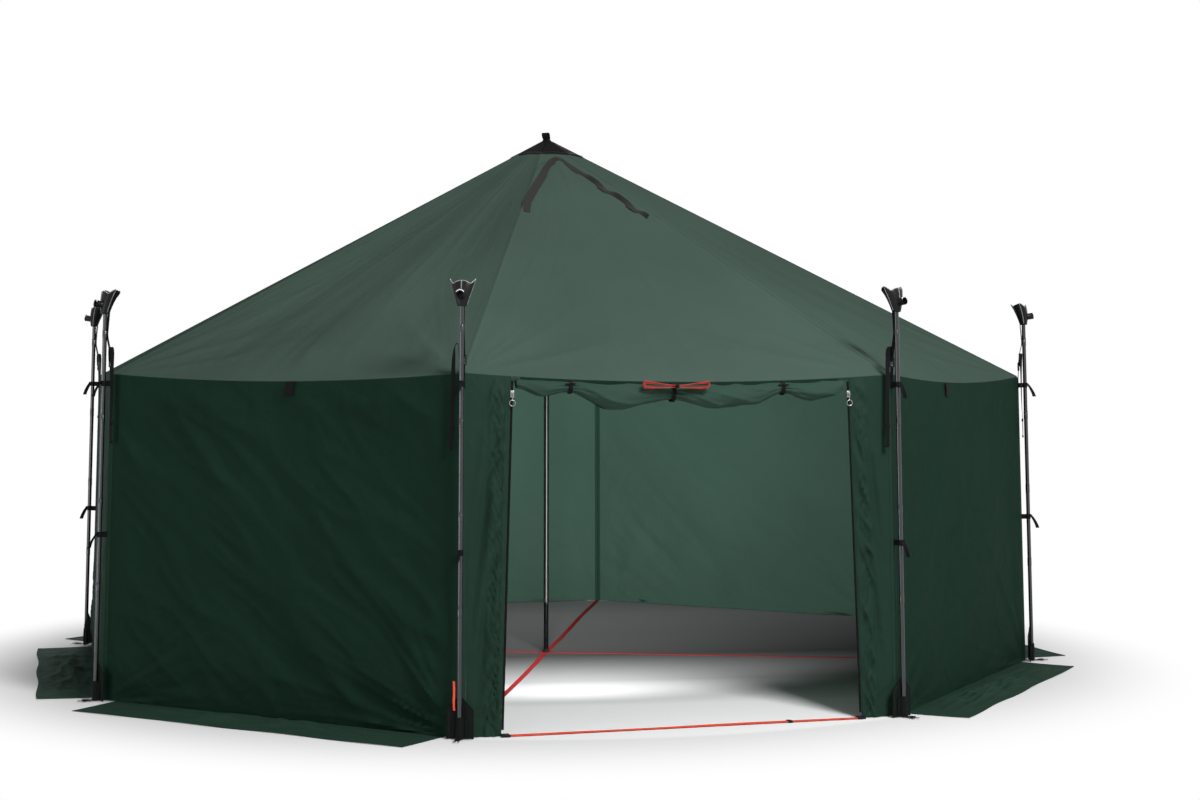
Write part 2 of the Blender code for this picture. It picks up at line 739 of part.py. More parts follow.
def make_ties():
    """The bands that hold the rolled door up, each with its toggle; the middle one also holds the hank."""
    for label, x in TIE_PLACES.items():
        radius = tie_bore(roll_radius(x))
        centre = roll_centre(x)
        band = across_frame(centre - Vector((TIE_BAND / 2, 0, 0)))
        pieces = [pipe_mesh("band", radius, radius + TIE_WALL, TIE_BAND, band, TIE_FACETS)]
        height = eave_height(0.5 + x / bay_width(EAVE_HEIGHT)) - ROOF_UNDER - centre.z
        hanger = Vector((TIE_HANGER[0], TIE_HANGER[1], height - radius))
        pieces.append(box_mesh("hanger", hanger, centre + Vector((0, hanger.y / 2, height - hanger.z / 2))))
        if label == "centre":
            middle = hank_centre()
            half = Vector((TIE_BAND / 2, HANK_LOOPS * HANK_PITCH / 2 + CORD_RADIUS + 2 * GAP,
                           HANK_WAIST + CORD_RADIUS + 2 * GAP))
            outer = box_mesh("clasp", 2 * (half + Vector((0, TIE_WALL, TIE_WALL))), middle)
            bridge = box_mesh("bridge", (TIE_BAND, 0.010, 0.010),
                              middle + Vector((0, half.y + TIE_WALL + 0.003, -0.006)))
            pieces += [outer, bridge]
            tie = part("door_tie_centre", fused("door_tie_centre", pieces), black_webbing)
            cut(tie, box_mesh("clasp_hole", 2 * half + Vector((0.02, 0, 0)), middle), "clasp_hole")
            cut(tie, pipe_core(x, radius), "band_hole")
            continue
        reach = radius + TIE_WALL + TOGGLE_RADIUS * 0.6
        lift = Vector((-TOGGLE_LENGTH / 2, -reach * math.cos(TOGGLE_TURN), reach * math.sin(TOGGLE_TURN)))
        bar = across_frame(centre + lift)
        pieces.append(rod_mesh("bar", TOGGLE_RADIUS, TOGGLE_LENGTH, bar, facets=10))
        part(f"door_tie_{label}", fused(f"door_tie_{label}", pieces), black_webbing)


def pipe_core(x, radius):
    """A cutter that keeps a tie's band open for the roll."""
    start = across_frame(roll_centre(x) - Vector((0.03, 0, 0)))
    return rod_mesh("band_core", radius, 0.06, start, TIE_FACETS)


def hank_point(turn):
    """A point of the stored guy line after a number of turns: half circles, and runs drawn in between."""
    bend = HANK_HALF_LENGTH - HANK_LOBE
    half_turn, share = divmod(2 * (turn % 1.0), 1)
    if share <= HANK_BEND_SHARE:
        angle = math.pi * (share / HANK_BEND_SHARE - 0.5)
        x, z = bend + HANK_LOBE * math.cos(angle), HANK_LOBE * math.sin(angle)
    else:
        x = bend * (1 - 2 * (share - HANK_BEND_SHARE) / (1 - HANK_BEND_SHARE))
        z = HANK_WAIST + (HANK_LOBE - HANK_WAIST) * smooth_step(abs(x) / bend)
    side = 1 - 2 * half_turn
    droop = HANK_DROP * (x / HANK_HALF_LENGTH) ** 2
    y = (turn - HANK_LOOPS / 2) * HANK_PITCH
    return hank_centre() + Vector((side * x, y, side * z - droop))


def make_hank():
    """The spare guy line, one unbroken cord laid in long loops and drawn in at the tie."""
    curve = bpy.data.curves.new("guy_line_hank", "CURVE")
    curve.dimensions = "3D"
    curve.bevel_depth = CORD_RADIUS
    curve.bevel_resolution = 1
    curve.use_fill_caps = True
    spline = curve.splines.new("POLY")
    count = HANK_LOOPS * HANK_LOOP_POINTS
    points = [hank_point(step / HANK_LOOP_POINTS) for step in range(count + 1)]
    spline.points.add(count)
    for knot, point in zip(spline.points, points):
        knot.co = (*point, 1)
    curve.materials.append(red_cord)
    link("guy_line_hank", curve, tent)
    near = min(
        (points[i] - points[j]).length
        for i in range(len(points)) for j in range(i + HANK_LOOP_POINTS // 3, len(points))
    )
    length = sum((b - a).length for a, b in zip(points, points[1:]))
    print(f"hank: cord length {length:.3f} m, least gap to itself {1000 * (near - 2 * CORD_RADIUS):.2f} mm")


def make_wall_poles():
    """The eight sectional wall poles, each standing in its corner's boot."""
    top = POLE_HEIGHT
    outline = [(0, top), (POLE_RADIUS * 0.55, top), (POLE_RADIUS * 0.75, top - POLE_TIP_LENGTH)]
    outline.append((POLE_RADIUS, top - POLE_TIP_LENGTH))
    sections = int((top - POLE_TIP_LENGTH) / POLE_SECTION)
    for number in range(sections - 1, 0, -1):
        joint = number * POLE_SECTION + 0.125
        if joint + POLE_FERRULE_LENGTH > top - POLE_TIP_LENGTH:
            continue
        wide = POLE_RADIUS + POLE_FERRULE_STEP
        foot = joint - POLE_FERRULE_LENGTH
        outline += [(POLE_RADIUS, joint), (wide, joint), (wide, foot), (POLE_RADIUS, foot)]
    outline += [(POLE_RADIUS, POLE_FOOT_HEIGHT), (0, POLE_FOOT_HEIGHT)]
    mesh = turned_mesh("wall_pole", outline, POLE_FACETS)
    stand = Matrix.Translation((0, POLE_STAND_OFF, 0))
    for number, corner in enumerate(CORNERS):
        part(f"pole_{corner}", mesh, aluminium, corner_frame(number) @ stand)


def cup_wall(u, v):
    """The fitting's outer wall at a place round it and up it, in the pole's frame."""
    angle = 2 * math.pi * u
    widen = v ** 0.9
    half_x = CUP_NECK_RADIUS + (CUP_HALF_WIDTH - CUP_NECK_RADIUS) * widen
    half_y = CUP_NECK_RADIUS + (CUP_HALF_DEPTH - CUP_NECK_RADIUS) * widen
    x = half_x * math.cos(angle)
    y = half_y * math.sin(angle) - CUP_LEAN_BACK * v ** 1.6
    drop = CUP_SCALLOP * (1 - abs(math.cos(2 * angle))) + CUP_FRONT_DROP * max(0.0, math.sin(angle))
    z = CUP_BASE_HEIGHT + CUP_HEIGHT * v - drop * v ** 3
    return Vector((x, y, z))


def cup_place(u, v):
    """A point of the closed fitting: its foot, its wall in two rows and its dished top."""
    if v < 0.125:
        return Vector((0, 0, CUP_BASE_HEIGHT))
    if v > 0.875:
        return Vector((0, CUP_DISH[0], CUP_BASE_HEIGHT + CUP_DISH[1]))
    return cup_wall(u, 2 * v - 0.5)


def make_cups():
    """The fan-shaped fitting on each pole's top, its spout and the hoist strap down to the buckle."""
    pieces = [sheet_mesh("cup_body", CUP_COLUMNS, 4, cup_place, wrap=True)]
    face = cup_wall(0.25, SPOUT_HEIGHT / CUP_HEIGHT)
    tilt = Matrix.Rotation(-SPOUT_PITCH, 4, "X")
    spout_start = Matrix.Translation(face - Vector((0, SPOUT_WALL, 0))) @ tilt
    pieces.append(pipe_mesh("spout", SPOUT_RADIUS - SPOUT_WALL, SPOUT_RADIUS, SPOUT_LENGTH, spout_start, 8))
    strap_y = -(POLE_RADIUS + GAP + WEBBING)
    strap_path = [
        (-CUP_NECK_RADIUS, CUP_BASE_HEIGHT + 0.012),
        (-CUP_NECK_RADIUS, CUP_BASE_HEIGHT - 0.004),
        (strap_y, CUP_BASE_HEIGHT - 0.080),
        (BUCKLE_OUT - POLE_STAND_OFF, BUCKLE_HEIGHT + BUCKLE_SIZE[2] / 2 + GAP),
    ]
    lay = Matrix(((0, 0, 1, 0), (1, 0, 0, 0), (0, 1, 0, 0), (0, 0, 0, 1)))
    pieces.append(ribbon_mesh("hoist", strap_path, HOIST_WIDTH, WEBBING, lay))
    bore, top = POLE_RADIUS + GAP / math.cos(math.pi / POLE_FACETS), POLE_HEIGHT + GAP
    low = CUP_BASE_HEIGHT - GAP
    socket = turned_mesh("pole_socket", [(0, low), (bore, low), (bore, top), (0, top)], POLE_FACETS)
    shared = carved("pole_cup", fused("pole_cup", pieces), socket)
    stand = Matrix.Translation((0, POLE_STAND_OFF, 0))
    for number, corner in enumerate(CORNERS):
        part(f"cup_{corner}", shared, black_webbing, corner_frame(number) @ stand)


def seam_outline():
    """The corner seam's section: a shallow V along the two wall panels."""
    reach, half = SEAM_REACH, SECTOR / 2
    side = Vector((reach * math.cos(half), -reach * math.sin(half)))
    thick = CLOTH / 2
    normal = Vector((math.sin(half), math.cos(half))) * thick
    peak = thick / math.cos(half)
    right_out, right_in = side + normal, side - normal
    return [
        (-right_out.x, right_out.y), (0, peak), (right_out.x, right_out.y),
        (right_in.x, right_in.y), (0, -peak), (-right_in.x, right_in.y),
    ]


def make_corners():
    """The eight lashed corners, of two kinds: the buckle's tail hangs to the left of the pole or to its right."""
    kinds = {side: fused("corner_lashing", corner_meshes(side)) for side in (-1, 1)}
    for number, corner in enumerate(CORNERS):
        side = -1 if corner in TAIL_RIGHT_CORNERS else 1
        part(f"corner_{corner}", kinds[side], black_webbing, corner_frame(number))


def corner_meshes(tail_side):
    """The lashed corner: seam tape, boot, two pole wraps with tails, buckle, strap tail and peg ring."""
    foot = 0.0012
    seam_top = (EAVE_HEIGHT - ROOF_UNDER - GAP) / math.cos(CORNER_LEAN)
    pieces = [plate_mesh("seam", seam_outline(), seam_top - foot, Matrix.Translation((0, 0, foot)))]
    upright = Matrix(((1, 0, 0, 0), (0, 0, -1, 0), (0, 1, 0, 0), (0, 0, 0, 1)))
    half = BOOT_WIDTH / 2
    hem = foot + 0.0005
    house = [(-half, hem), (half, hem), (half, BOOT_SHOULDER), (0, BOOT_HEIGHT), (-half, BOOT_SHOULDER)]
    panel_front = POLE_STAND_OFF - POLE_RADIUS - 0.0012
    lay_panel = Matrix.Translation((0, panel_front, 0)) @ upright
    pieces.append(plate_mesh("boot_panel", house, BOOT_PANEL, lay_panel))
    spine = box_mesh("boot_spine", (0.020, panel_front, BOOT_SHOULDER - 3 * hem),
                     (0, panel_front / 2 - 0.001, (BOOT_SHOULDER + hem) / 2))
    pieces.append(spine)
    bore = POLE_RADIUS + GAP / math.cos(math.pi / POLE_FACETS)
    sole = POLE_FOOT_HEIGHT - GAP
    wall = bore + BOOT_POCKET_WALL
    top = BOOT_POCKET_HEIGHT
    outline = [(0, foot), (wall, foot), (wall, top), (bore, top), (bore, sole), (0, sole)]
    pocket = turned_mesh("boot_pocket", outline, POLE_FACETS)
    pocket.transform(Matrix.Translation((0, POLE_STAND_OFF, 0)))
    pieces.append(pocket)
    for height in WRAP_HEIGHTS:
        ring = Matrix.Translation((0, POLE_STAND_OFF, height - WRAP_BAND / 2))
        pieces.append(pipe_mesh("wrap", bore, bore + WRAP_WALL, WRAP_BAND, ring, POLE_FACETS))
        web = POLE_STAND_OFF - bore - 0.0006
        pieces.append(box_mesh("wrap_web", (0.008, web, WRAP_BAND), (0, web / 2, height)))
        size = (WRAP_TAIL_WIDTH, WRAP_WALL * 0.7, WRAP_TAIL_LENGTH)
        tail = box_mesh("wrap_tail", size, (0, 0, -WRAP_TAIL_LENGTH / 2))
        tail.transform(Matrix.Rotation(WRAP_TAIL_TURN, 4, "X"))
        tail.transform(Matrix.Translation((0, POLE_STAND_OFF + bore + WRAP_WALL * 0.8, height + 0.004)))
        pieces.append(tail)
    pieces += buckle_meshes(tail_side)
    start = POLE_STAND_OFF + bore + BOOT_POCKET_WALL / 2
    strap = box_mesh("peg_strap", (PEG_STRAP_WIDTH, PEG_STRAP_END - start, WEBBING),
                     (0, (PEG_STRAP_END + start) / 2, hem + WEBBING / 2))
    pieces.append(strap)
    ring_lay = Matrix.Translation((0, PEG_STRAP_END + PEG_RING_RADIUS - 0.001, hem + PEG_RING_WIRE))
    pieces.append(ring_mesh("peg_ring", PEG_RING_RADIUS, PEG_RING_WIRE, ring_lay, steps=10, facets=4))
    return pieces


def buckle_meshes(tail_side):
    """The buckle at the eave corner, with the webbing tail that arches over and hangs beside the pole."""
    width, depth, height = BUCKLE_SIZE
    neck_width, low, high = BUCKLE_NECK
    front = BUCKLE_OUT + depth / 2
    root = box_mesh("neck_root", (neck_width, front, high - low), (0, front / 2 + GAP, (low + high) / 2))
    neck_low = high - 0.004
    neck = box_mesh("neck", (neck_width, depth, BUCKLE_HEIGHT - neck_low),
                    (0, BUCKLE_OUT, (BUCKLE_HEIGHT + neck_low) / 2))
    frame = box_mesh("buckle", BUCKLE_SIZE, (0, BUCKLE_OUT, BUCKLE_HEIGHT))
    crown = BUCKLE_HEIGHT + TAIL_ARCH_HEIGHT
    start, reach = tail_side * (width / 2 - WEBBING), tail_side * TAIL_REACH
    path = [
        (start, BUCKLE_HEIGHT + 0.004), (start + tail_side * 0.003, crown - 0.016), (reach * 0.62, crown),
        (reach * 0.95, crown - 0.020), (reach * 1.25, TAIL_DROP_TO),
    ]
    upright = Matrix(((1, 0, 0, 0), (0, 0, -1, 0), (0, 1, 0, 0), (0, 0, 0, 1)))
    lay = Matrix.Translation((0, TAIL_OUT, 0)) @ upright
    strap = ribbon_mesh("buckle_tail", path, HOIST_WIDTH, WEBBING, lay)
    keeper = box_mesh("keeper", (0.006, HOIST_WIDTH + 0.004, 0.012),
                      (reach * 1.18, TAIL_OUT, KEEPER_HEIGHT))
    return [root, neck, frame, strap, keeper]


def make_centre_pole():
    """The centre pole: an upper tube, a leg that draws out of it and the leg's snap button."""
    top = APEX_HEIGHT + ROOF_UNDER - GAP
    upper = [
        (0, top), (CENTRE_TUBE_RADIUS - 0.002, top), (CENTRE_TUBE_RADIUS, top - 0.002),
        (CENTRE_TUBE_RADIUS, CENTRE_FERRULE_HEIGHT + 0.001),
        (CENTRE_TUBE_RADIUS + 0.001, CENTRE_FERRULE_HEIGHT),
        (CENTRE_TUBE_RADIUS + 0.001, CENTRE_FERRULE_HEIGHT - 0.040),
        (CENTRE_TUBE_RADIUS, CENTRE_FERRULE_HEIGHT - 0.041), (CENTRE_TUBE_RADIUS, CENTRE_TUBE_BOTTOM),
        (CENTRE_TUBE_BORE, CENTRE_TUBE_BOTTOM), (CENTRE_TUBE_BORE, CENTRE_BORE_TOP), (0, CENTRE_BORE_TOP),
    ]
    part("centre_pole_upper", turned_mesh("centre_pole_upper", upper, CENTRE_FACETS), aluminium)
    leg = [
        (LEG_BORE, LEG_TOP), (LEG_RADIUS, LEG_TOP), (LEG_RADIUS, LEG_FOOT_HEIGHT),
        (LEG_FOOT_RADIUS, LEG_FOOT_HEIGHT - 0.001), (LEG_FOOT_RADIUS, 0.002), (LEG_FOOT_RADIUS - 0.002, 0.0),
        (0, 0.0), (0, LEG_FOOT_HEIGHT), (LEG_BORE, LEG_FOOT_HEIGHT), (LEG_BORE, LEG_TOP),
    ]
    lower = part("centre_pole_leg", turned_mesh("centre_pole_leg", leg, CENTRE_FACETS), aluminium_dark)
    for number in range(LEG_HOLE_COUNT):
        height = LEG_HOLE_TOP - number * LEG_HOLE_PITCH
        hole = Matrix.Translation((0, 0, height)) @ Matrix.Rotation(math.pi / 2, 4, "X")
        cut(lower, rod_mesh("leg_hole", LEG_HOLE_RADIUS, 0.02, hole, facets=10), f"leg_hole_{number}")
    flat = math.sqrt(LEG_BORE ** 2 - BUTTON_FLANGE_RADIUS ** 2) - 0.0005
    head = LEG_RADIUS + BUTTON_PROUD
    button = [
        (0, head), (BUTTON_RADIUS * 0.6, head - 0.0003), (BUTTON_RADIUS, head - 0.0016),
        (BUTTON_RADIUS, flat), (BUTTON_FLANGE_RADIUS, flat), (BUTTON_FLANGE_RADIUS, flat - BUTTON_FLANGE),
        (0, flat - BUTTON_FLANGE),
    ]
    place = Matrix.Translation((0, 0, LEG_HOLE_TOP)) @ Matrix.Rotation(math.pi / 2, 4, "X")
    part("centre_pole_button", turned_mesh("centre_pole_button", button, 12), steel, place)


def make_floor_straps():
    """The red webbing cross that ties four corners to the centre pole's foot."""
    hub = pipe_mesh("hub", LEG_FOOT_RADIUS + 0.001, STRAP_HUB_RADIUS, WEBBING, Matrix.Identity(4), facets=16)
    seam = CLOTH / 2 / math.cos(SECTOR / 2)
    reach = WALL_FOOT_RADIUS - math.tan(SECTOR / 2) * STRAP_WIDTH / 2 - seam - 1.5 * GAP
    pieces = [hub]
    for corner in (0, 2, 4, 6):
        start = STRAP_HUB_RADIUS - 0.004
        size = (reach - start, STRAP_WIDTH, WEBBING)
        spoke = box_mesh("spoke", size, ((reach + start) / 2, 0, WEBBING / 2))
        spoke.transform(Matrix.Rotation(corner_angle(corner), 4, "Z"))
        pieces.append(spoke)
    part("floor_straps", fused("floor_straps", pieces), red_webbing)


def make_sill():
    """The red strap across the door sill, with a buckle at each end and a free slider."""
    y = door_plane(0, 0).y - CLOTH / 2 - GAP - SILL_BUCKLE_SIZE[1] / 2
    half = ZIP_BOTTOM_X - 0.006
    strap = box_mesh("strap", (2 * half, STRAP_WIDTH, WEBBING), (0, y, SILL_RAISE + WEBBING / 2))
    pieces = [strap]
    for side in (-1, 1):
        size = Vector(SILL_BUCKLE_SIZE)
        pieces.append(box_mesh("end_buckle", size, (side * half, y, size.z / 2)))
    part("sill_strap", fused("sill_strap", pieces), red_webbing)
    wide = STRAP_WIDTH + 2 * (GAP + SILL_SLIDER_WALL)
    tall = 2 * (SILL_RAISE + WEBBING / 2)
    block = box_mesh("sill_slider", (SILL_SLIDER_LENGTH, wide, tall - 0.0006), (0, 0, 0))
    slider = part("sill_slider", block, black_plastic,
                  Matrix.Translation((SILL_SLIDER_X, y, SILL_RAISE + WEBBING / 2)))
    slot = box_mesh("sill_slot", (0.05, STRAP_WIDTH + 2 * GAP, WEBBING + 2 * GAP),
                    (SILL_SLIDER_X, y, SILL_RAISE + WEBBING / 2))
    cut(slider, slot, "sill_slot")


for old in list(bpy.data.objects):
    bpy.data.objects.remove(old, do_unlink=True)

tent = bpy.data.collections.new("group_tent")
guides = bpy.data.collections.new("cutters")
bpy.context.scene.collection.children.link(tent)
bpy.context.scene.collection.children.link(guides)

green_light = make_material("roof_green", (0.060, 0.120, 0.095), 0.55)
green_dark = make_material("wall_green", (0.010, 0.035, 0.022), 0.55)
green_skirt = make_material("skirt_green", (0.018, 0.060, 0.040), 0.50)
black_webbing = make_material("black_webbing", (0.010, 0.010, 0.011), 0.75)
black_zip = make_material("zip_black", (0.008, 0.008, 0.009), 0.55)
black_plastic = make_material("black_plastic", (0.012, 0.012, 0.012), 0.45)
red_webbing = make_material("red_webbing", (0.560, 0.050, 0.025), 0.70)
red_cord = make_material("red_cord", (0.620, 0.045, 0.030), 0.65)
aluminium = make_material("aluminium", (0.560, 0.570, 0.580), 0.30, 1.0)
aluminium_dark = make_material("aluminium_dark", (0.300, 0.305, 0.310), 0.35, 1.0)
steel = make_material("steel", (0.620, 0.620, 0.620), 0.28, 1.0)

make_roof()
make_apex_cap()
make_vent_hood()
make_walls()
make_skirts()
make_door_panels()
make_zips()
make_door_roll()
make_ties()
make_hank()
make_wall_poles()
make_cups()
make_corners()
make_centre_pole()
make_floor_straps()
make_sill()
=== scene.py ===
"""An eight-sided group tent, pitched for a catalogue photograph.

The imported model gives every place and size. Each class here dresses one sub-assembly of the tent: the
roof, the walls, the doorway, the lashed corners, the poles, the floor webbing and the studio round it.
All lengths are in metres, +Z is up and the doorway faces -Y.
"""
import json
import logging
import math
from dataclasses import dataclass
from enum import Enum
from typing import Any, Callable

import bpy
from mathutils import Matrix, Vector, noise

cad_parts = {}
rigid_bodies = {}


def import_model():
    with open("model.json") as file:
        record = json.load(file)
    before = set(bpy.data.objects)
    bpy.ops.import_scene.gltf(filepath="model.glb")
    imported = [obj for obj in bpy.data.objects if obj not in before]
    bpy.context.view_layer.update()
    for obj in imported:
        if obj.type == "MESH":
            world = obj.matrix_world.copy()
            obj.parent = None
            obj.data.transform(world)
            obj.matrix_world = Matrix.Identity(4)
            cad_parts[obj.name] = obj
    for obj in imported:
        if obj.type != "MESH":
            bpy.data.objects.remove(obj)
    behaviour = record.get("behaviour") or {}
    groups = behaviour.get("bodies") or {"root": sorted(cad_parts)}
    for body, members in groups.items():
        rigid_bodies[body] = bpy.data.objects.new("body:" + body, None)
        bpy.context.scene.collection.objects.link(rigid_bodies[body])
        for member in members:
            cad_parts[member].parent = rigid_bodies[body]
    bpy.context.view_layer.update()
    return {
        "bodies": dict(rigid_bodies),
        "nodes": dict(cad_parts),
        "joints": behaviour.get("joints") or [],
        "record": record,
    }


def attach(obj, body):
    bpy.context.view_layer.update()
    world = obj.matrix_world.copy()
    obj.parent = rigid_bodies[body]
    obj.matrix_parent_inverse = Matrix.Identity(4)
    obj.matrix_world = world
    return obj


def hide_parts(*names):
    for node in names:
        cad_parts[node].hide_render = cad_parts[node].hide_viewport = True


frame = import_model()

log = logging.getLogger("tent")

Triple = tuple[float, float, float]
Place = Callable[[float, float], Vector]
Socket = bpy.types.NodeSocket

ORIGIN = Matrix.Identity(4)
MIDDLE = Vector((0, 0, 0.9))
UP = Vector((0, 0, 1))
RIGHT = Vector((1, 0, 0))
QUARTER = math.pi / 2
ALONG_X = Matrix.Rotation(QUARTER, 4, "Y")
FORWARD = Matrix.Rotation(QUARTER, 4, "X")
WELD = 0.00001


class Weave(Enum):
    """How a textile's threads lie."""

    PLAIN = "plain"
    WEBBING = "webbing"
    BRAID = "braid"


class Side(Enum):
    """Which side of the doorway a piece belongs to, seen from outside."""

    LEFT = -1
    RIGHT = 1

    @property
    def label(self) -> str:
        """The side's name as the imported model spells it."""
        return self.name.lower()


class Graph:
    """The nodes of a material or a world, added one by one with what feeds their inputs."""

    def __init__(self, owner: bpy.types.Material | bpy.types.World) -> None:
        """Start on the owner's own nodes."""
        owner.use_nodes = True
        self.owner = owner
        self.tree = owner.node_tree

    def add(self, kind: str, feeds: dict[str | int, Any] | None = None, **settings: Any) -> bpy.types.Node:
        """Add a node.

        Args:
            kind: Its type, without the words that every shader node's type starts with.
            feeds: What its inputs get.
            settings: Its own properties.

        Returns:
            The node.
        """
        node = self.tree.nodes.new(f"ShaderNode{kind}")
        for name, value in settings.items():
            setattr(node, name, value)
        self.feed(node, feeds or {})
        return node

    def feed(self, node: bpy.types.Node, feeds: dict[str | int, Any]) -> None:
        """Give a node's inputs their values, or the sockets that they read."""
        for name, value in feeds.items():
            if isinstance(value, Socket):
                self.tree.links.new(value, node.inputs[name])
            else:
                node.inputs[name].default_value = value

    def noise(self, vector: Socket, scale: float, detail: float, distortion: float = 0.0) -> bpy.types.Node:
        """A noise texture.

        Args:
            vector: The coordinates that it reads.
            scale: Its features per metre.
            detail: Its octaves.
            distortion: How much it is swirled.

        Returns:
            The node.
        """
        return self.add("TexNoise", {"Scale": scale, "Detail": detail, "Distortion": distortion, "Vector": vector})

    def ramp(self, value: Socket, stops: list[tuple[float, Triple]]) -> Socket:
        """Turn a value into a colour.

        Args:
            value: The value.
            stops: The ramp's places and their colours, in order.

        Returns:
            The colour.
        """
        node = self.add("ValToRGB", {"Fac": value})
        elements = node.color_ramp.elements
        for element, (place, _) in zip((elements[0], elements[-1]), (stops[0], stops[-1])):
            element.position = place
        for place, _ in stops[1:-1]:
            elements.new(place)
        for element, (_, colour) in zip(elements, stops):
            element.color = (*colour, 1)
        return node.outputs["Color"]

    def remap(
        self, value: Socket, source: tuple[float, float] = (0.0, 1.0), target: tuple[float, float] = (0.0, 1.0),
        kind: str = "LINEAR",
    ) -> Socket:
        """Map a value from one range to another.

        Args:
            value: The value.
            source: The range that it comes in.
            target: The range that it goes to.
            kind: How it goes from end to end.

        Returns:
            The mapped value.
        """
        feeds = {"Value": value, "From Min": source[0], "From Max": source[1], "To Min": target[0], "To Max": target[1]}
        return self.add("MapRange", feeds, interpolation_type=kind).outputs["Result"]

    def reckon(self, operation: str, *values: Socket | float) -> Socket:
        """Work out one operation on values."""
        return self.add("Math", dict(enumerate(values)), operation=operation).outputs[0]

    def bump(self, height: Socket, strength: float, distance: float, **normal: Socket) -> Socket:
        """Raise a surface by a height, on top of another bump's Normal if one is given."""
        feeds = {"Strength": strength, "Distance": distance, "Height": height, **normal}
        return self.add("Bump", feeds).outputs["Normal"]

    def seen_directly(self) -> Socket:
        """A value that is 1 for the camera's, reflected and transmitted rays."""
        rays = self.add("LightPath").outputs
        reflected = self.reckon("MAXIMUM", rays["Is Camera Ray"], rays["Is Glossy Ray"])
        return self.reckon("MAXIMUM", reflected, rays["Is Transmission Ray"])

    def surface(self, feeds: dict[str | int, Any]) -> bpy.types.Node:
        """Feed the material's Principled shader."""
        shader = self.tree.nodes["Principled BSDF"]
        self.feed(shader, feeds)
        return shader


def tint(colour: Triple, share: float) -> Triple:
    """A colour made lighter or darker."""
    return tuple(min(1.0, c * share) for c in colour)


@dataclass(frozen=True)
class Textile:
    """A woven finish: cloth, webbing or braid."""

    name: str
    colour: Triple
    weave: Weave
    pitch: float
    roughness: float
    crumple: float
    gloss: float = 0.15
    shade: float = 0.10

    def build(self) -> bpy.types.Material:
        """Make the textile's material.

        Returns:
            The material, with its weave, crumple and colour variation as nodes.
        """
        graph = Graph(bpy.data.materials.new(self.name))
        place = graph.add("TexCoord")
        where = place.outputs["Object"]
        cloudy, speckle = graph.noise(where, 1.7, 3.0), graph.noise(where, 420.0, 2.0)
        tone = graph.add(
            "Mix", {"Factor": 0.35, 2: cloudy.outputs["Fac"], 3: speckle.outputs["Fac"]}, data_type="FLOAT",
        )
        dark, light = tint(self.colour, 1 - self.shade), tint(self.colour, 1 + self.shade)
        folds = {"Normal": self.folds(graph, where)} if self.crumple > 0 else {}
        graph.surface({
            "Roughness": self.roughness, "Specular IOR Level": self.gloss,
            "Base Color": graph.ramp(tone.outputs[0], [(0.30, dark), (0.70, light)]),
            "Normal": graph.bump(self.threads(graph, place.outputs["UV"]), 0.35, self.pitch * 0.4, **folds),
        })
        return graph.owner

    def folds(self, graph: Graph, where: Socket) -> Socket:
        """Crumple the cloth with broad swells and sharp creases that don't run straight.

        Args:
            graph: The material's nodes.
            where: The object coordinates.

        Returns:
            The folds' normal.
        """
        push = graph.noise(where, 2.3, 2.0)
        bent = graph.add("Mix", {"Factor": 0.22, 4: where, 5: push.outputs["Color"]}, data_type="VECTOR")
        creases = graph.add("TexVoronoi", {"Scale": 5.5, "Vector": bent.outputs[1]}, feature="DISTANCE_TO_EDGE")
        sharp = graph.remap(creases.outputs["Distance"], (0.0, 0.16))
        broad = graph.noise(where, 7.0, 4.0, 0.6)
        return graph.bump(graph.reckon("MULTIPLY_ADD", sharp, 0.12, broad.outputs["Fac"]), 1.0, self.crumple)

    def threads(self, graph: Graph, flat: Socket) -> Socket:
        """Lay the threads over the piece's own UV map, which is in metres.

        Args:
            graph: The material's nodes.
            flat: The UV coordinates.

        Returns:
            The threads' height.
        """
        heights = []
        for direction in ("X", "Y"):
            pitch = self.pitch if direction == "X" or self.weave is Weave.PLAIN else self.pitch * 2.2
            slanted = self.weave is Weave.BRAID and direction == "Y"
            wave = graph.add(
                "TexWave", {"Scale": 0.314 / pitch, "Vector": flat},
                wave_type="BANDS", bands_direction="DIAGONAL" if slanted else direction,
            )
            heights.append(wave.outputs["Fac"])
        return graph.reckon("MAXIMUM", *heights)


@dataclass(frozen=True)
class Metal:
    """A drawn, cast or anodised metal finish."""

    name: str
    colour: Triple
    roughness: float
    grain: float = 0.10

    def build(self) -> bpy.types.Material:
        """Make the metal's material, with fine handling marks in its roughness."""
        graph = Graph(bpy.data.materials.new(self.name))
        where = graph.add("TexCoord").outputs["Object"]
        stretch = graph.add("Mapping", {"Scale": (1.0, 1.0, 0.06), "Vector": where})
        marks = graph.noise(stretch.outputs["Vector"], 260.0, 5.0).outputs["Fac"]
        wear = graph.noise(where, 9.0, 4.0).outputs["Fac"]
        low, high = self.roughness * (1 - self.grain * 2), self.roughness * (1 + self.grain * 3)
        graph.surface({
            "Metallic": 1.0, "Roughness": graph.remap(marks, target=(low, high)),
            "Base Color": graph.ramp(wear, [(0.0, tint(self.colour, 0.82)), (1.0, tint(self.colour, 1.12))]),
            "Normal": graph.bump(marks, 0.06, 0.0004),
        })
        return graph.owner


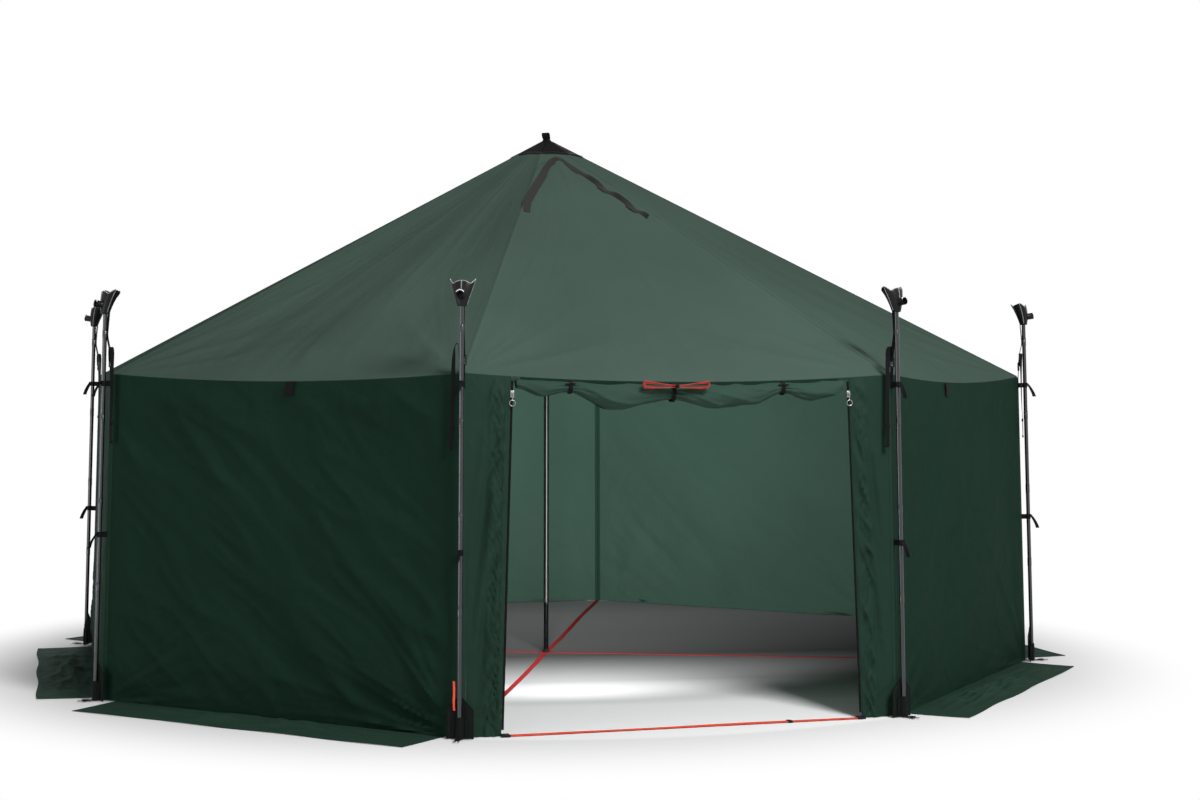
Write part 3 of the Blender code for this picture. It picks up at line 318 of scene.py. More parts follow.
@dataclass(frozen=True)
class Plastic:
    """A moulded plastic or rubber finish."""

    name: str
    colour: Triple
    roughness: float
    texture: float = 0.0003
    coat: float = 0.0
    gloss: float = 0.12

    def build(self) -> bpy.types.Material:
        """Make the plastic's material, with a fine moulded texture."""
        graph = Graph(bpy.data.materials.new(self.name))
        where = graph.add("TexCoord").outputs["Object"]
        grain, scuffs = (graph.noise(where, *fine).outputs["Fac"] for fine in ((900.0, 2.0), (35.0, 5.0)))
        rough = (self.roughness * 0.8, min(1.0, self.roughness * 1.25))
        graph.surface({
            "Specular IOR Level": self.gloss, "Coat Weight": self.coat, "Coat Roughness": 0.18,
            "Base Color": graph.ramp(scuffs, [(0.0, tint(self.colour, 0.85)), (1.0, tint(self.colour, 1.25))]),
            "Roughness": graph.remap(scuffs, target=rough), "Normal": graph.bump(grain, 0.3, self.texture),
        })
        return graph.owner


def deselect() -> None:
    """Leave nothing selected, as a fresh operator needs."""
    if bpy.context.object and bpy.context.object.mode != "OBJECT":
        bpy.ops.object.mode_set(mode="OBJECT")
    bpy.ops.object.select_all(action="DESELECT")


def pick(*pieces: bpy.types.Object) -> None:
    """Select these objects alone, the first one active."""
    deselect()
    for piece in pieces:
        piece.select_set(True)
    bpy.context.view_layer.objects.active = pieces[0]


def apply_modifiers(piece: bpy.types.Object) -> None:
    """Apply every modifier on a piece, in order."""
    pick(piece)
    for modifier in list(piece.modifiers):
        bpy.ops.object.modifier_apply(modifier=modifier.name)


def placed(name: str, data: bpy.types.ID) -> bpy.types.Object:
    """Put a mesh or a curve into the scene as an object."""
    piece = bpy.data.objects.new(name, data)
    bpy.context.scene.collection.objects.link(piece)
    return piece


def settle(piece: bpy.types.Object, name: str, matrix: Matrix | None = None, angle: float = 35.0) -> bpy.types.Object:
    """Name a piece, put its place into its mesh and shade it.

    Args:
        piece: The mesh object.
        name: Its new name.
        matrix: Where it goes, or None to leave it.
        angle: The angle in degrees past which an edge stays sharp.

    Returns:
        The piece.
    """
    piece.name = piece.data.name = name
    pick(piece)
    bpy.ops.object.transform_apply(location=True, rotation=True, scale=True)
    if matrix is not None:
        piece.data.transform(matrix)
    bpy.ops.object.shade_smooth_by_angle(angle=math.radians(angle))
    return piece


def weld(piece: bpy.types.Object, outward: bool = True) -> None:
    """Weld a piece's doubles, and point its faces outwards unless told otherwise."""
    pick(piece)
    bpy.ops.object.mode_set(mode="EDIT")
    bpy.ops.mesh.select_all(action="SELECT")
    bpy.ops.mesh.remove_doubles(threshold=WELD)
    if outward:
        bpy.ops.mesh.normals_make_consistent(inside=False)
    bpy.ops.object.mode_set(mode="OBJECT")


def cut(piece: bpy.types.Object, cutter: bpy.types.Object) -> None:
    """Cut a shape out of a piece and remove the cutter."""
    hole = piece.modifiers.new("Cut", "BOOLEAN")
    hole.operation = "DIFFERENCE"
    hole.object = cutter
    apply_modifiers(piece)
    bpy.data.objects.remove(cutter)


def block(name: str, size: Triple, matrix: Matrix, bevel: float = 0.0006, segments: int = 2) -> bpy.types.Object:
    """A rounded block, from a cube primitive at its size.

    Args:
        name: The piece's name.
        size: Its three sides.
        matrix: Where its middle goes.
        bevel: Its edge radius.
        segments: The faces across each rounded edge.

    Returns:
        The mesh object.
    """
    deselect()
    bpy.ops.mesh.primitive_cube_add(size=1.0)
    piece = bpy.context.object
    piece.scale = size
    bpy.ops.object.transform_apply(scale=True)
    rounded = piece.modifiers.new("Edges", "BEVEL")
    rounded.width = min(bevel, 0.45 * min(size))
    rounded.segments = segments
    apply_modifiers(piece)
    return settle(piece, name, matrix)


def turned(
    name: str, outline: list[tuple[float, float]], matrix: Matrix, segments: int = 32, sharp: float = 35.0,
) -> bpy.types.Object:
    """A turned shape, from a profile of (radius, height) and the Screw modifier.

    Args:
        name: The piece's name.
        outline: The profile, which starts and ends on the axis or closes on itself.
        matrix: Where its axis goes.
        segments: The faces round it.
        sharp: The angle in degrees past which an edge stays sharp.

    Returns:
        The mesh object.
    """
    mesh = bpy.data.meshes.new(name)
    mesh.from_pydata([(r, 0, z) for r, z in outline], [(i, i + 1) for i in range(len(outline) - 1)], [])
    piece = placed(name, mesh)
    screw = piece.modifiers.new("Turn", "SCREW")
    screw.steps = screw.render_steps = segments
    screw.use_merge_vertices = True
    screw.merge_threshold = WELD
    apply_modifiers(piece)
    weld(piece)
    return settle(piece, name, matrix, sharp)


def ring(
    name: str, radius: float, wire: float, matrix: Matrix, around: int = 32, across: int = 10,
) -> bpy.types.Object:
    """A wire ring, from a torus primitive.

    Args:
        name: The piece's name.
        radius: The ring's radius to the middle of its wire.
        wire: The wire's radius.
        matrix: Where its middle goes, its axis along Z.
        around: The faces round the ring.
        across: The faces round the wire.

    Returns:
        The mesh object.
    """
    deselect()
    bpy.ops.mesh.primitive_torus_add(
        major_radius=radius, minor_radius=wire, major_segments=around, minor_segments=across,
    )
    return settle(bpy.context.object, name, matrix, 60)


def strand(name: str, points: list[Vector], radius: float, cyclic: bool, resolution: int) -> bpy.types.Object:
    """A wire or cord bent along a path, as a bevelled curve.

    Args:
        name: The piece's name.
        points: The path.
        radius: The wire's radius.
        cyclic: Whether the path closes.
        resolution: The curve's bevel resolution.

    Returns:
        The curve object.
    """
    curve = bpy.data.curves.new(name, "CURVE")
    curve.dimensions = "3D"
    curve.bevel_depth = radius
    curve.bevel_resolution = resolution
    curve.use_fill_caps = True
    spline = curve.splines.new("POLY")
    spline.points.add(len(points) - 1)
    spline.use_cyclic_u = cyclic
    for knot, point in zip(spline.points, points):
        knot.co = (*point, 1)
    return placed(name, curve)


def tube(
    name: str, points: list[Vector], radius: float, cyclic: bool = False, resolution: int = 2,
) -> bpy.types.Object:
    """A strand that is made a mesh, with the same arguments."""
    pick(strand(name, points, radius, cyclic, resolution))
    bpy.ops.object.convert(target="MESH")
    piece = bpy.context.object
    weld(piece)
    return settle(piece, name, None, 60)


def cloth(
    name: str, columns: int, rows: int, place: Place, size: tuple[float, float], thickness: float,
    wrap: bool = False,
) -> bpy.types.Object:
    """A sheet of cloth: a grid primitive whose points are moved to place(u, v), then given its thickness.

    Args:
        name: The piece's name.
        columns: The faces across it.
        rows: The faces up it.
        place: The surface, for u and v from 0 to 1.
        size: The sheet's size in metres, for its UV map.
        thickness: The cloth's thickness, half to each side.
        wrap: Whether its first and last columns meet.

    Returns:
        The mesh object.
    """
    deselect()
    bpy.ops.mesh.primitive_grid_add(x_subdivisions=columns, y_subdivisions=rows, size=2, calc_uvs=True)
    piece = bpy.context.object
    for vert in piece.data.vertices:
        vert.co = place((vert.co.x + 1) / 2, (vert.co.y + 1) / 2)
    for corner in piece.data.uv_layers[0].uv:
        corner.vector = (corner.vector[0] * size[0], corner.vector[1] * size[1])
    if wrap:
        weld(piece, outward=False)
    solid = piece.modifiers.new("Thickness", "SOLIDIFY")
    solid.thickness = thickness
    solid.offset = 0.0
    apply_modifiers(piece)
    return settle(piece, name, None, 50)


def ribbon(
    name: str, path: list[Vector], across: Vector | list[Vector], width: float, thickness: float, cup: float = 0.0,
) -> bpy.types.Object:
    """A strap laid along a path.

    Args:
        name: The piece's name.
        path: The points along its middle.
        across: The direction across it, one for all of it or one at each point.
        width: Its width.
        thickness: Its thickness.
        cup: How far its edges curl off its middle.

    Returns:
        The mesh object.
    """
    length = sum((b - a).length for a, b in zip(path, path[1:]))
    sides = across if isinstance(across, list) else [across] * len(path)

    def place(u: float, v: float) -> Vector:
        """A point of the strap."""
        step = v * (len(path) - 1)
        low = min(int(step), len(path) - 2)
        share = step - low
        point = path[low].lerp(path[low + 1], share)
        side = sides[low].lerp(sides[low + 1], share).normalized()
        ahead = (path[low + 1] - path[low]).normalized()
        face = side.cross(ahead).normalized()
        offset = 2 * u - 1
        return point + side * (offset * width / 2) + face * (cup * offset * offset)

    return cloth(name, 6, max(2, len(path) - 1), place, (width, length), thickness)


def laid(path: list[Vector], normal: Vector, turns: list[float] | None = None) -> list[Vector]:
    """Find the directions across a strap that lies flat on a face.

    Args:
        path: The points along the strap's middle.
        normal: The face's outward direction.
        turns: How far the strap is twisted about its path at each point, in radians.

    Returns:
        The direction across the strap at each point.
    """
    across = []
    for i in range(len(path)):
        ahead = (path[min(i + 1, len(path) - 1)] - path[max(i - 1, 0)]).normalized()
        side = normal.cross(ahead).normalized()
        across.append(Matrix.Rotation(turns[i], 3, ahead) @ side if turns else side)
    return across


def vectors(*rows: Triple) -> list[Vector]:
    """Make a list of points."""
    return [Vector(row) for row in rows]


def eased(points: list[Vector], steps: int) -> list[Vector]:
    """Pass a smooth path through a few points.

    Args:
        points: The points.
        steps: The steps between each two.

    Returns:
        The points of the smooth path.
    """
    path = []
    last = len(points) - 1
    for i in range(last):
        a, b, c, d = points[max(0, i - 1)], points[i], points[i + 1], points[min(last, i + 2)]
        for step in range(steps):
            t = step / steps
            path.append(0.5 * (
                2 * b + (c - a) * t + (2 * a - 5 * b + 4 * c - d) * t * t + (3 * b - a - 3 * c + d) * t ** 3
            ))
    path.append(points[-1].copy())
    return path


def circuit(steps: int, place: Callable[[float], Vector]) -> list[Vector]:
    """Go once round a closed path, whose points place(angle) gives."""
    return [place(2 * math.pi * step / steps) for step in range(steps + 1)]


def squared(angle: float, power: float) -> tuple[float, float]:
    """A point on a rounded square of half side 1, at an angle."""
    return tuple(math.copysign(abs(part) ** power, part) for part in (math.cos(angle), math.sin(angle)))


def stitch_run(
    name: str, stitches: list[tuple[Vector, Vector]], length: float, radius: float,
) -> bpy.types.Object:
    """A run of separate stitches, one rounded dash copied to each place.

    Args:
        name: The piece's name.
        stitches: The middle and the direction of each stitch.
        length: A stitch's length.
        radius: The thread's radius.

    Returns:
        The mesh object.
    """
    outline = [(0, -length / 2), (radius, -length * 0.36), (radius, length * 0.36), (0, length / 2)]
    dash = turned("stitch", outline, ORIGIN, 6, 80)
    pieces = []
    for number, (middle, ahead) in enumerate(stitches):
        turn = UP.rotation_difference(ahead).to_matrix().to_4x4()
        pieces.append(copied(dash, f"{name}_{number}", Matrix.Translation(middle) @ turn))
    bpy.data.objects.remove(dash)
    return joined(name, pieces)


def joined(name: str, pieces: list[bpy.types.Object]) -> bpy.types.Object:
    """Join several meshes into one piece.

    Args:
        name: The piece's name.
        pieces: The meshes.

    Returns:
        The joined object.
    """
    pick(*pieces)
    if len(pieces) > 1:
        bpy.ops.object.join()
    piece = bpy.context.view_layer.objects.active
    piece.name = piece.data.name = name
    return piece


def copied(piece: bpy.types.Object, name: str, matrix: Matrix) -> bpy.types.Object:
    """Copy a piece with its own mesh and put the copy somewhere else.

    Args:
        piece: The piece to copy.
        name: The copy's name.
        matrix: Where it goes from the piece's own place.

    Returns:
        The copy.
    """
    copy = placed(name, piece.data.copy())
    copy.data.name = name
    copy.data.transform(matrix)
    return copy


def blocks(frame: Matrix, rows: list[tuple[Triple, Triple, float, int]]) -> list[bpy.types.Object]:
    """Make several blocks in one frame, each from its size, its middle, its edge radius and its edges' faces."""
    return [
        block("part", size, frame @ Matrix.Translation(place), bevel, segments)
        for size, place, bevel, segments in rows
    ]


def beside(centre: Vector, reach: float, angle: float) -> Vector:
    """A point round a level axis along X, at an angle up from its front."""
    return centre + Vector((0, -reach * math.cos(angle), reach * math.sin(angle)))


@dataclass
class Assembly:
    """A sub-assembly of the tent, with the materials that dress it."""

    finish: dict[str, bpy.types.Material]

    def dress(
        self, piece: bpy.types.Object, finish: str, slot: str = "", body: str = "tent", nodes: tuple[str, ...] = (),
        lining: str = "",
    ) -> bpy.types.Object:
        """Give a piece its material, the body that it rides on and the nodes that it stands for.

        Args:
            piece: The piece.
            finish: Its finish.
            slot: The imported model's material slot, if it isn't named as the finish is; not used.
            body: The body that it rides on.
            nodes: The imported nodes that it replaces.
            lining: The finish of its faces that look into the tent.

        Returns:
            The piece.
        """
        piece.data.materials.clear()
        for name in filter(None, (finish, lining)):
            piece.data.materials.append(self.finish[name])
        # Faces that look into the tent take the lining; the inner cloth used there is lighter than the outside, as
        # painted light.
        if lining:
            for face in piece.data.polygons:
                face.material_index = int(face.normal.dot(face.center - MIDDLE) < 0)
        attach(piece, body)
        slot or finish
        if nodes:
            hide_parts(*nodes)
        log.info("%s is dressed", piece.name)
        return piece


def side_of(x: float) -> float:
    """Which side of the middle a place is on."""
    return math.copysign(1.0, x)


def smooth_step(t: float) -> float:
    """Ease from 0 to 1."""
    t = min(1.0, max(0.0, t))
    return t * t * (3 - 2 * t)


@dataclass(frozen=True)
class Plan:
    """The pitched tent's plan and heights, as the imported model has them."""

    sides: int = 8
    eave: float = 1.200
    apex: float = 2.220
    foot_radius: float = 2.045
    lean: float = 0.034
    sag: float = 0.028
    stand_off: float = 0.030
    top_radius: float = 0.015
    gap: float = 0.0003
    corners: tuple[str, ...] = (
        "front_left", "front_right", "right_front", "right_back",
        "back_right", "back_left", "left_back", "left_front",
    )
    bays: tuple[str, ...] = (
        "door", "front_right", "right", "back_right", "back", "back_left", "left", "front_left",
    )

    @property
    def eave_radius(self) -> float:
        """The radius of the eave's corners."""
        return self.foot_radius - self.lean

    @property
    def slope(self) -> float:
        """The roof faces' slope."""
        return math.atan2(self.apex - self.eave, self.eave_radius * math.cos(math.pi / self.sides))

    def angle(self, corner: int) -> float:
        """The angle of a wall corner about the apex."""
        return -math.pi / 2 - math.pi / self.sides + corner * 2 * math.pi / self.sides

    def corner_frame(self, corner: int) -> Matrix:
        """A wall corner's frame: X along the eave, Y outward, Z up the leaning edge."""
        return (
            Matrix.Rotation(self.angle(corner) - QUARTER, 4, "Z")
            @ Matrix.Translation((0, self.foot_radius, 0))
            @ Matrix.Rotation(math.atan2(self.lean, self.eave), 4, "X")
        )

    def edge(self, corner: int, height: float) -> Vector:
        """A point on a wall corner's leaning edge at a height."""
        radius = self.foot_radius - self.lean * height / self.eave
        angle = self.angle(corner)
        return Vector((radius * math.cos(angle), radius * math.sin(angle), height))

    def eave_at(self, u: float) -> float:
        """The eave's height along a bay."""
        return self.eave - self.sag * 4 * u * (1 - u)

    def outward(self, bay: int) -> Vector:
        """The level outward direction of a bay."""
        angle = self.angle(bay) + math.pi / self.sides
        return Vector((math.cos(angle), math.sin(angle), 0))

    def wall(self, bay: int, along: float, height: float, push: float = 0.0) -> Vector:
        """A point on a bay's wall, at a share of its width and a height, pushed outward."""
        return self.edge(bay, height).lerp(self.edge(bay + 1, height), along) + self.outward(bay) * push

    def width(self, height: float) -> float:
        """The width of a bay's wall at a height."""
        return (self.edge(0, height) - self.edge(1, height)).length

    def door(self, x: float, height: float, push: float = 0.0) -> Vector:
        """A point on the door bay's wall plane."""
        half = self.width(height) / 2
        return self.wall(0, (x + half) / (2 * half), height, push)

    def roof(self, gore: int, along: float, v: float) -> Vector:
        """A point on the roof's taut shape: along a gore's eave, and v from the eave to the top ring."""
        foot = self.wall(gore, along, self.eave)
        foot.z = self.eave_at(along)
        top = Vector((foot.x, foot.y, 0)) * (self.top_radius / self.eave_radius)
        top.z = self.apex
        return foot.lerp(top, v)

    def gore_normal(self, gore: int) -> Vector:
        """The outward direction of a roof face."""
        level = self.outward(gore)
        return (level * math.sin(self.slope) + Vector((0, 0, math.cos(self.slope)))).normalized()


PLAN = Plan()


FINISHES: tuple[Textile | Metal | Plastic, ...] = (
    # The same green cloth as the walls, for the roof, made much lighter and greyer with no gloss: painted light and
    # painted sheen stand in for the top light and its reflection.
    Textile("roof_cloth", (0.0600, 0.0955, 0.0780), Weave.PLAIN, 0.0016, 0.50, 0.003, 0.0),
    Textile("wall_cloth", (0.0098, 0.0280, 0.0190), Weave.PLAIN, 0.0016, 0.72, 0.009, 0.015),
    # The inside face of the same wall cloth, made lighter: painted light stands in for light shining through the cloth.
    Textile("inner_cloth", (0.036, 0.070, 0.053), Weave.PLAIN, 0.0016, 0.70, 0.009, 0.05),
    # The wall cloth made lighter for the door side panels: painted highlight stands in for the shine on their crinkles.
    Textile("jamb_cloth", (0.0135, 0.0340, 0.0240), Weave.PLAIN, 0.0016, 0.55, 0.009, 0.05),
    # The wall cloth made lighter for the rolled door: painted light stands in for the light that falls on the roll.
    Textile("door_cloth", (0.030, 0.061, 0.046), Weave.PLAIN, 0.0016, 0.70, 0.009, 0.04),
    # The wall cloth made lighter where it lies on the ground: painted light stands in for the light on its upturned
    # face.
    Textile("skirt_cloth", (0.0185, 0.0420, 0.0305), Weave.PLAIN, 0.0018, 0.75, 0.012, 0.02),
    # The roof's lighter, greyer colour on the hip seams and eave hems: painted light and painted sheen.
    Textile("hip_tape", (0.0610, 0.0970, 0.0790), Weave.PLAIN, 0.0014, 0.52, 0.002, 0.0),
    Textile("seam_tape", (0.0150, 0.0380, 0.0265), Weave.PLAIN, 0.0014, 0.70, 0.003, 0.05),
    Textile("vent_binding", (0.026, 0.026, 0.025), Weave.WEBBING, 0.0016, 0.65, 0.003, 0.06),
    Textile("black_webbing", (0.006, 0.006, 0.007), Weave.WEBBING, 0.0018, 0.65, 0.002, 0.06),
    Textile("cap_cloth", (0.0070, 0.0062, 0.0064), Weave.PLAIN, 0.0014, 0.70, 0.004, 0.02),
    # A darker copy of the red webbing below, for the cross inside the tent: painted shade stands in for the tent's
    # shade over it.
    Textile("floor_webbing", (0.22, 0.016, 0.018), Weave.WEBBING, 0.0020, 0.65, 0.002, 0.05),
    Textile("red_webbing", (0.86, 0.095, 0.055), Weave.WEBBING, 0.0020, 0.65, 0.002, 0.05),
    Textile("red_cord", (0.36, 0.042, 0.038), Weave.BRAID, 0.0016, 0.60, 0.001, 0.06, 0.60),
    Textile("seam_thread", (0.030, 0.048, 0.040), Weave.BRAID, 0.0008, 0.65, 0.001, 0.05),
    Textile("zip_tape", (0.005, 0.006, 0.006), Weave.WEBBING, 0.0010, 0.65, 0.002, 0.05),
    Textile("boot_cloth", (0.0065, 0.0080, 0.0078), Weave.PLAIN, 0.0012, 0.65, 0.003, 0.06),
    Plastic("zip_teeth", (0.010, 0.010, 0.011), 0.38, 0.0),
    Plastic("black_plastic", (0.008, 0.008, 0.009), 0.40, 0.0006, 0.08),
    Plastic("cup_plastic", (0.007, 0.007, 0.008), 0.34, 0.0006, 0.0, 0.16),
    # Pale grey on the black fitting's edge beads: painted highlight.
    Plastic("cup_edge_plastic", (0.24, 0.245, 0.25), 0.32, 0.0003, 0.0, 0.5),
    # Near white arc over the spout's black lip: painted highlight.
    Plastic("spout_ring_plastic", (0.62, 0.63, 0.63), 0.30, 0.0002, 0.10, 0.5),
    Metal("aluminium", (0.50, 0.505, 0.50), 0.22),
    Metal("anodised_aluminium", (0.070, 0.072, 0.076), 0.22),
    Metal("dark_aluminium", (0.060, 0.064, 0.070), 0.28),
    Metal("steel", (0.34, 0.34, 0.345), 0.26),
)


def ridge(value: float) -> float:
    """A crease's profile from a noise value: sharp at its crest and flat between crests."""
    return 1.0 - min(1.0, abs(value) * 3.0)


@dataclass
class Roof(Assembly):
    """The eight-gore roof cloth with its hip seams, eave binding, vent and apex cap."""

    cloth: float = 0.0012
    columns: int = 56
    rows: int = 72
    slack: float = 0.012
    fold: float = 0.006
    crease: float = 0.0042
    tab_ridge: Triple = (0.54, 0.045, 0.30)
    fan: float = 0.0060
    fan_reach: float = 0.50
    fine_share: float = 0.55
    fine_mesh: tuple[int, int] = (150, 120)
    gore_share: float = 0.505
    vent_aside: float = -0.022
    tug: float = 0.0190
    tug_reach: float = 0.34
    hip_width: float = 0.020
    eave_band: float = 0.012
    cap_radius: float = 0.138
    cap_lift: float = 0.0032
    crown_radius: float = 0.019
    loop_size: Triple = (0.034, 0.006, 0.037)
    loop_turn: float = math.radians(48)
    vent_top: float = 0.262
    vent_bottom: float = 0.800
    vent_half_top: float = 0.060
    vent_half: float = 0.255
    vent_rise: float = 0.034
    hood_fullness: float = 1.12
    hood_area: float = 0.21
    vent_tape: float = 0.036
    tape_spread: float = 0.258
    tape_top: float = 0.05
    tape_round: float = 0.15
    tape_steps: int = 54
    vent_hole: Triple = (0.110, 0.330, 0.480)

    def build(self) -> None:
        """Make the whole roof."""
        for gore in range(PLAN.sides):
            self.gore(gore)
        self.hips()
        self.eave_binding()
        self.cap()
        self.vent()

    def offset(self, gore: int, along: float, v: float) -> float:
        """How far the cloth stands off its taut shape, downwards counted as negative.

        Args:
            gore: The roof face.
            along: The place along its eave.
            v: The place from the eave to the top.

        Returns:
            The rise in metres.
        """
        still = math.sin(math.pi * along) ** 0.7 * min(1.0, (1 - v) * 9) * min(1.0, v * 14)
        hang = 0.0 if gore == 0 else -self.slack * math.sin(math.pi * along) * math.sin(math.pi * min(1, v * 1.1))
        broad = self.fold * math.sin(7 * math.pi * along + gore) * (1 - v) * math.sin(math.pi * min(1, v * 1.2))
        seed = Vector((gore * 7.3, 0, 0))
        radial = ridge(noise.noise(Vector((along * 9, v * 1.6, 3.1)) + seed))
        narrow = 0.5 * ridge(noise.noise(Vector((along * 21, v * 2.4, 8.7)) + seed))
        corner = along if along < 0.5 else 1 - along
        reach = math.hypot(corner * 1.5, v * 2.1)
        turn = math.atan2(v * 2.1, corner * 1.5 + 1e-6)
        rays = 0.8 - 2.0 * abs(math.sin(turn * 7 + gore + (3 if along > 0.5 else 0)))
        tug = rays * math.exp(-reach / self.tug_reach) * min(1, reach / 0.05)
        flat = 0.75 if gore == 0 else 1.0
        middle, high, wide = self.tab_ridge
        if gore == 7:
            hang += still * high * (1 - v) * max(0.0, 1 - math.hypot(along - middle, 0.012) / wide)
        wander = noise.noise(Vector((turn * 7.5, reach * 0.9, gore * 3.1 + (9.0 if along > 0.5 else 0.0))))
        fine = noise.noise(Vector((turn * 16.0, reach * 1.1, gore * 5.7 + (4.0 if along > 0.5 else 0.0))))
        ray = ridge(wander * 2.8) + self.fine_share * ridge(fine * 2.8)
        hem = min(1.0, corner * PLAN.width(PLAN.eave) * (1 - v) / 0.06) * min(1.0, v * 16)
        hang += hem * self.fan * ray * math.exp(-reach / self.fan_reach) * min(1, reach / 0.06)
        rise = hang + still * flat * (broad + self.crease * (radial + narrow) * (0.75 - v * 0.5))
        return rise + still * self.tug * tug * flat

    def point(self, gore: int, along: float, v: float, lift: float = 0.0) -> Vector:
        """A point on the slack roof cloth, lifted off it along the face's outward direction."""
        point = PLAN.roof(gore, along, v)
        point.z += self.offset(gore, along, v)
        return point + PLAN.gore_normal(gore) * lift

    def gore(self, number: int) -> None:
        """One roof face, with the vent's hole in the front one."""
        size = (PLAN.width(PLAN.eave), math.hypot(PLAN.eave_radius, PLAN.apex - PLAN.eave))
        columns, rows = self.fine_mesh if number in (7, 0, 1) else (self.columns, self.rows)
        piece = cloth(
            f"roof_gore_{PLAN.bays[number]}", columns, rows,
            lambda u, v: self.point(number, u, v), size, self.cloth,
        )
        if number == 0:
            self.cut_vent(piece)
        self.dress(piece, "roof_cloth", "roof_green", nodes=("roof",), lining="inner_cloth")

    def cut_vent(self, piece: bpy.types.Object) -> None:
        """Cut the vent's hole through the front face."""
        width, first, last = self.vent_hole
        deselect()
        bpy.ops.mesh.primitive_cube_add(size=1.0)
        cutter = bpy.context.object
        cutter.scale = (width, (last - first) * math.cos(PLAN.slope), 0.3)
        cutter.location = self.front(0.0, (first + last) / 2)
        bpy.ops.object.transform_apply(scale=True)
        cut(piece, cutter)

    def front(self, x: float, down: float, lift: float = 0.0) -> Vector:
        """A point on the front roof face.

        Args:
            x: The place across the face.
            down: The distance down its slope from the apex.
            lift: How far it is lifted off the cloth.

        Returns:
            The point.
        """
        v = 1 - down / math.hypot(PLAN.eave_radius * math.cos(math.pi / 8), PLAN.apex - PLAN.eave)
        along = 0.5 + x / max(PLAN.width(PLAN.eave) * (1 - v), 1e-6)
        return self.point(0, min(1.0, max(0.0, along)), v, lift)

    def hips(self) -> None:
        """The lapped seams that run down the eight hips."""
        for corner in range(PLAN.sides):
            length = (PLAN.roof(corner, 0, 0) - PLAN.roof(corner, 0, 1)).length

            def place(u: float, v: float, corner: int = corner) -> Vector:
                """A point of the seam, half of it on each face."""
                up = 0.002 + 0.925 * v
                offset = (u - 0.5) * self.hip_width / (PLAN.width(PLAN.eave) * (1 - up))
                gore, along = (corner, offset) if offset >= 0 else ((corner - 1) % PLAN.sides, 1 + offset)
                ridge_lift = 0.0010 + 0.0006 * (1 - abs(2 * u - 1))
                return self.point(gore, along, up, ridge_lift)

            seam = cloth(f"hip_seam_{PLAN.corners[corner]}", 6, 120, place, (self.hip_width, length), 0.0010)
            self.dress(seam, "hip_tape", "roof_green")

    def eave_binding(self) -> None:
        """The hem along each eave, a band laid on the cloth's lower edge."""
        depth = math.hypot(PLAN.eave_radius * math.cos(math.pi / 8), PLAN.apex - PLAN.eave)
        for bay in range(PLAN.sides):
            size = (PLAN.width(PLAN.eave), self.eave_band)

            def place(u: float, v: float, bay: int = bay) -> Vector:
                """A point of the hem."""
                along = 0.006 + 0.988 * u
                return self.point(bay, along, self.eave_band / depth * (0.06 + v), 0.0013)

            self.dress(cloth(f"eave_hem_{PLAN.bays[bay]}", 60, 2, place, size, 0.0009), "hip_tape", "roof_green")

    def cap(self) -> None:
        """The reinforcement sewn over the apex, its crown patch and its lifting loop."""
        reach = self.cap_radius / PLAN.eave_radius

        def place(u: float, v: float) -> Vector:
            """A point of the cap, which dips between the hips at its edge."""
            turn = u * PLAN.sides
            gore = min(int(turn), PLAN.sides - 1)
            along = turn - gore
            hip = abs(2 * along - 1)
            edge = reach * (1 + 0.04 * hip - 0.03 * (1 - hip))
            share = edge * (1 - v) + self.loop_size[1] / PLAN.eave_radius * v
            drape = 0.0020 * math.sin(math.pi * along) * (1 - v)
            return PLAN.roof(gore, along, 1 - share) + PLAN.gore_normal(gore) * (self.cap_lift + drape)

        size = (2 * math.pi * self.cap_radius, self.cap_radius)
        cone = cloth("apex_cap_cloth", 96, 12, place, size, 0.0014, wrap=True)
        self.dress(cone, "cap_cloth", "black_webbing", nodes=("apex_cap",))

        def edge(u: float, v: float) -> Vector:
            """A point of the cap's folded hem."""
            return place(u, 0.085 * v) + UP * 0.0012

        hem = cloth("apex_cap_hem", 96, 2, edge, (size[0], 0.011), 0.0010, wrap=True)
        self.dress(hem, "black_webbing")

        def under(u: float, v: float) -> Vector:
            """A point of the pale tape that shows below the cap's hem."""
            return place(u, 0.012 - 0.045 * v) - UP * 0.0012

        tape = cloth("apex_cap_tape", 96, 1, under, (size[0], 0.007), 0.0008, wrap=True)
        self.dress(tape, "vent_binding", "black_webbing")
        top = PLAN.apex + 0.0024
        outline = [
            (0, 0), (self.crown_radius, 0), (self.crown_radius, 0.0015), (self.crown_radius * 0.94, 0.0035),
            (self.crown_radius * 0.66, 0.0072), (self.crown_radius * 0.55, 0.0078), (0, 0.0080),
        ]
        self.dress(turned("apex_crown", outline, Matrix.Translation((0, 0, top - 0.0008)), 48, 50), "black_webbing")
        self.lifting_loop(top)

    def lifting_loop(self, base: float) -> None:
        """The webbing loop on the apex, which leans a little to the left."""
        width, depth, height = self.loop_size
        half = width / 2 - 0.002
        knots = vectors(
            (0.007, 0, 0.004), (0.012, 0, 0.010), (half - 0.001, 0, 0.020), (half * 0.86, 0, 0.0320),
            (half * 0.2, 0, height - 0.0025), (-half * 0.84, 0, 0.031), (-half, 0, 0.019), (-0.012, 0, 0.010),
            (-0.007, 0, 0.004),
        )
        turn = Matrix.Rotation(self.loop_turn, 3, "Z")
        path = [turn @ point + Vector((-0.16 * point.z, 0, base)) for point in eased(knots, 6)]
        self.dress(ribbon("apex_loop_band", path, turn @ Vector((0, 1, 0)), 0.024, 0.0020, 0.0003), "black_webbing")

    def vent(self) -> None:
        """The vent's hood and the tape that binds its edge."""

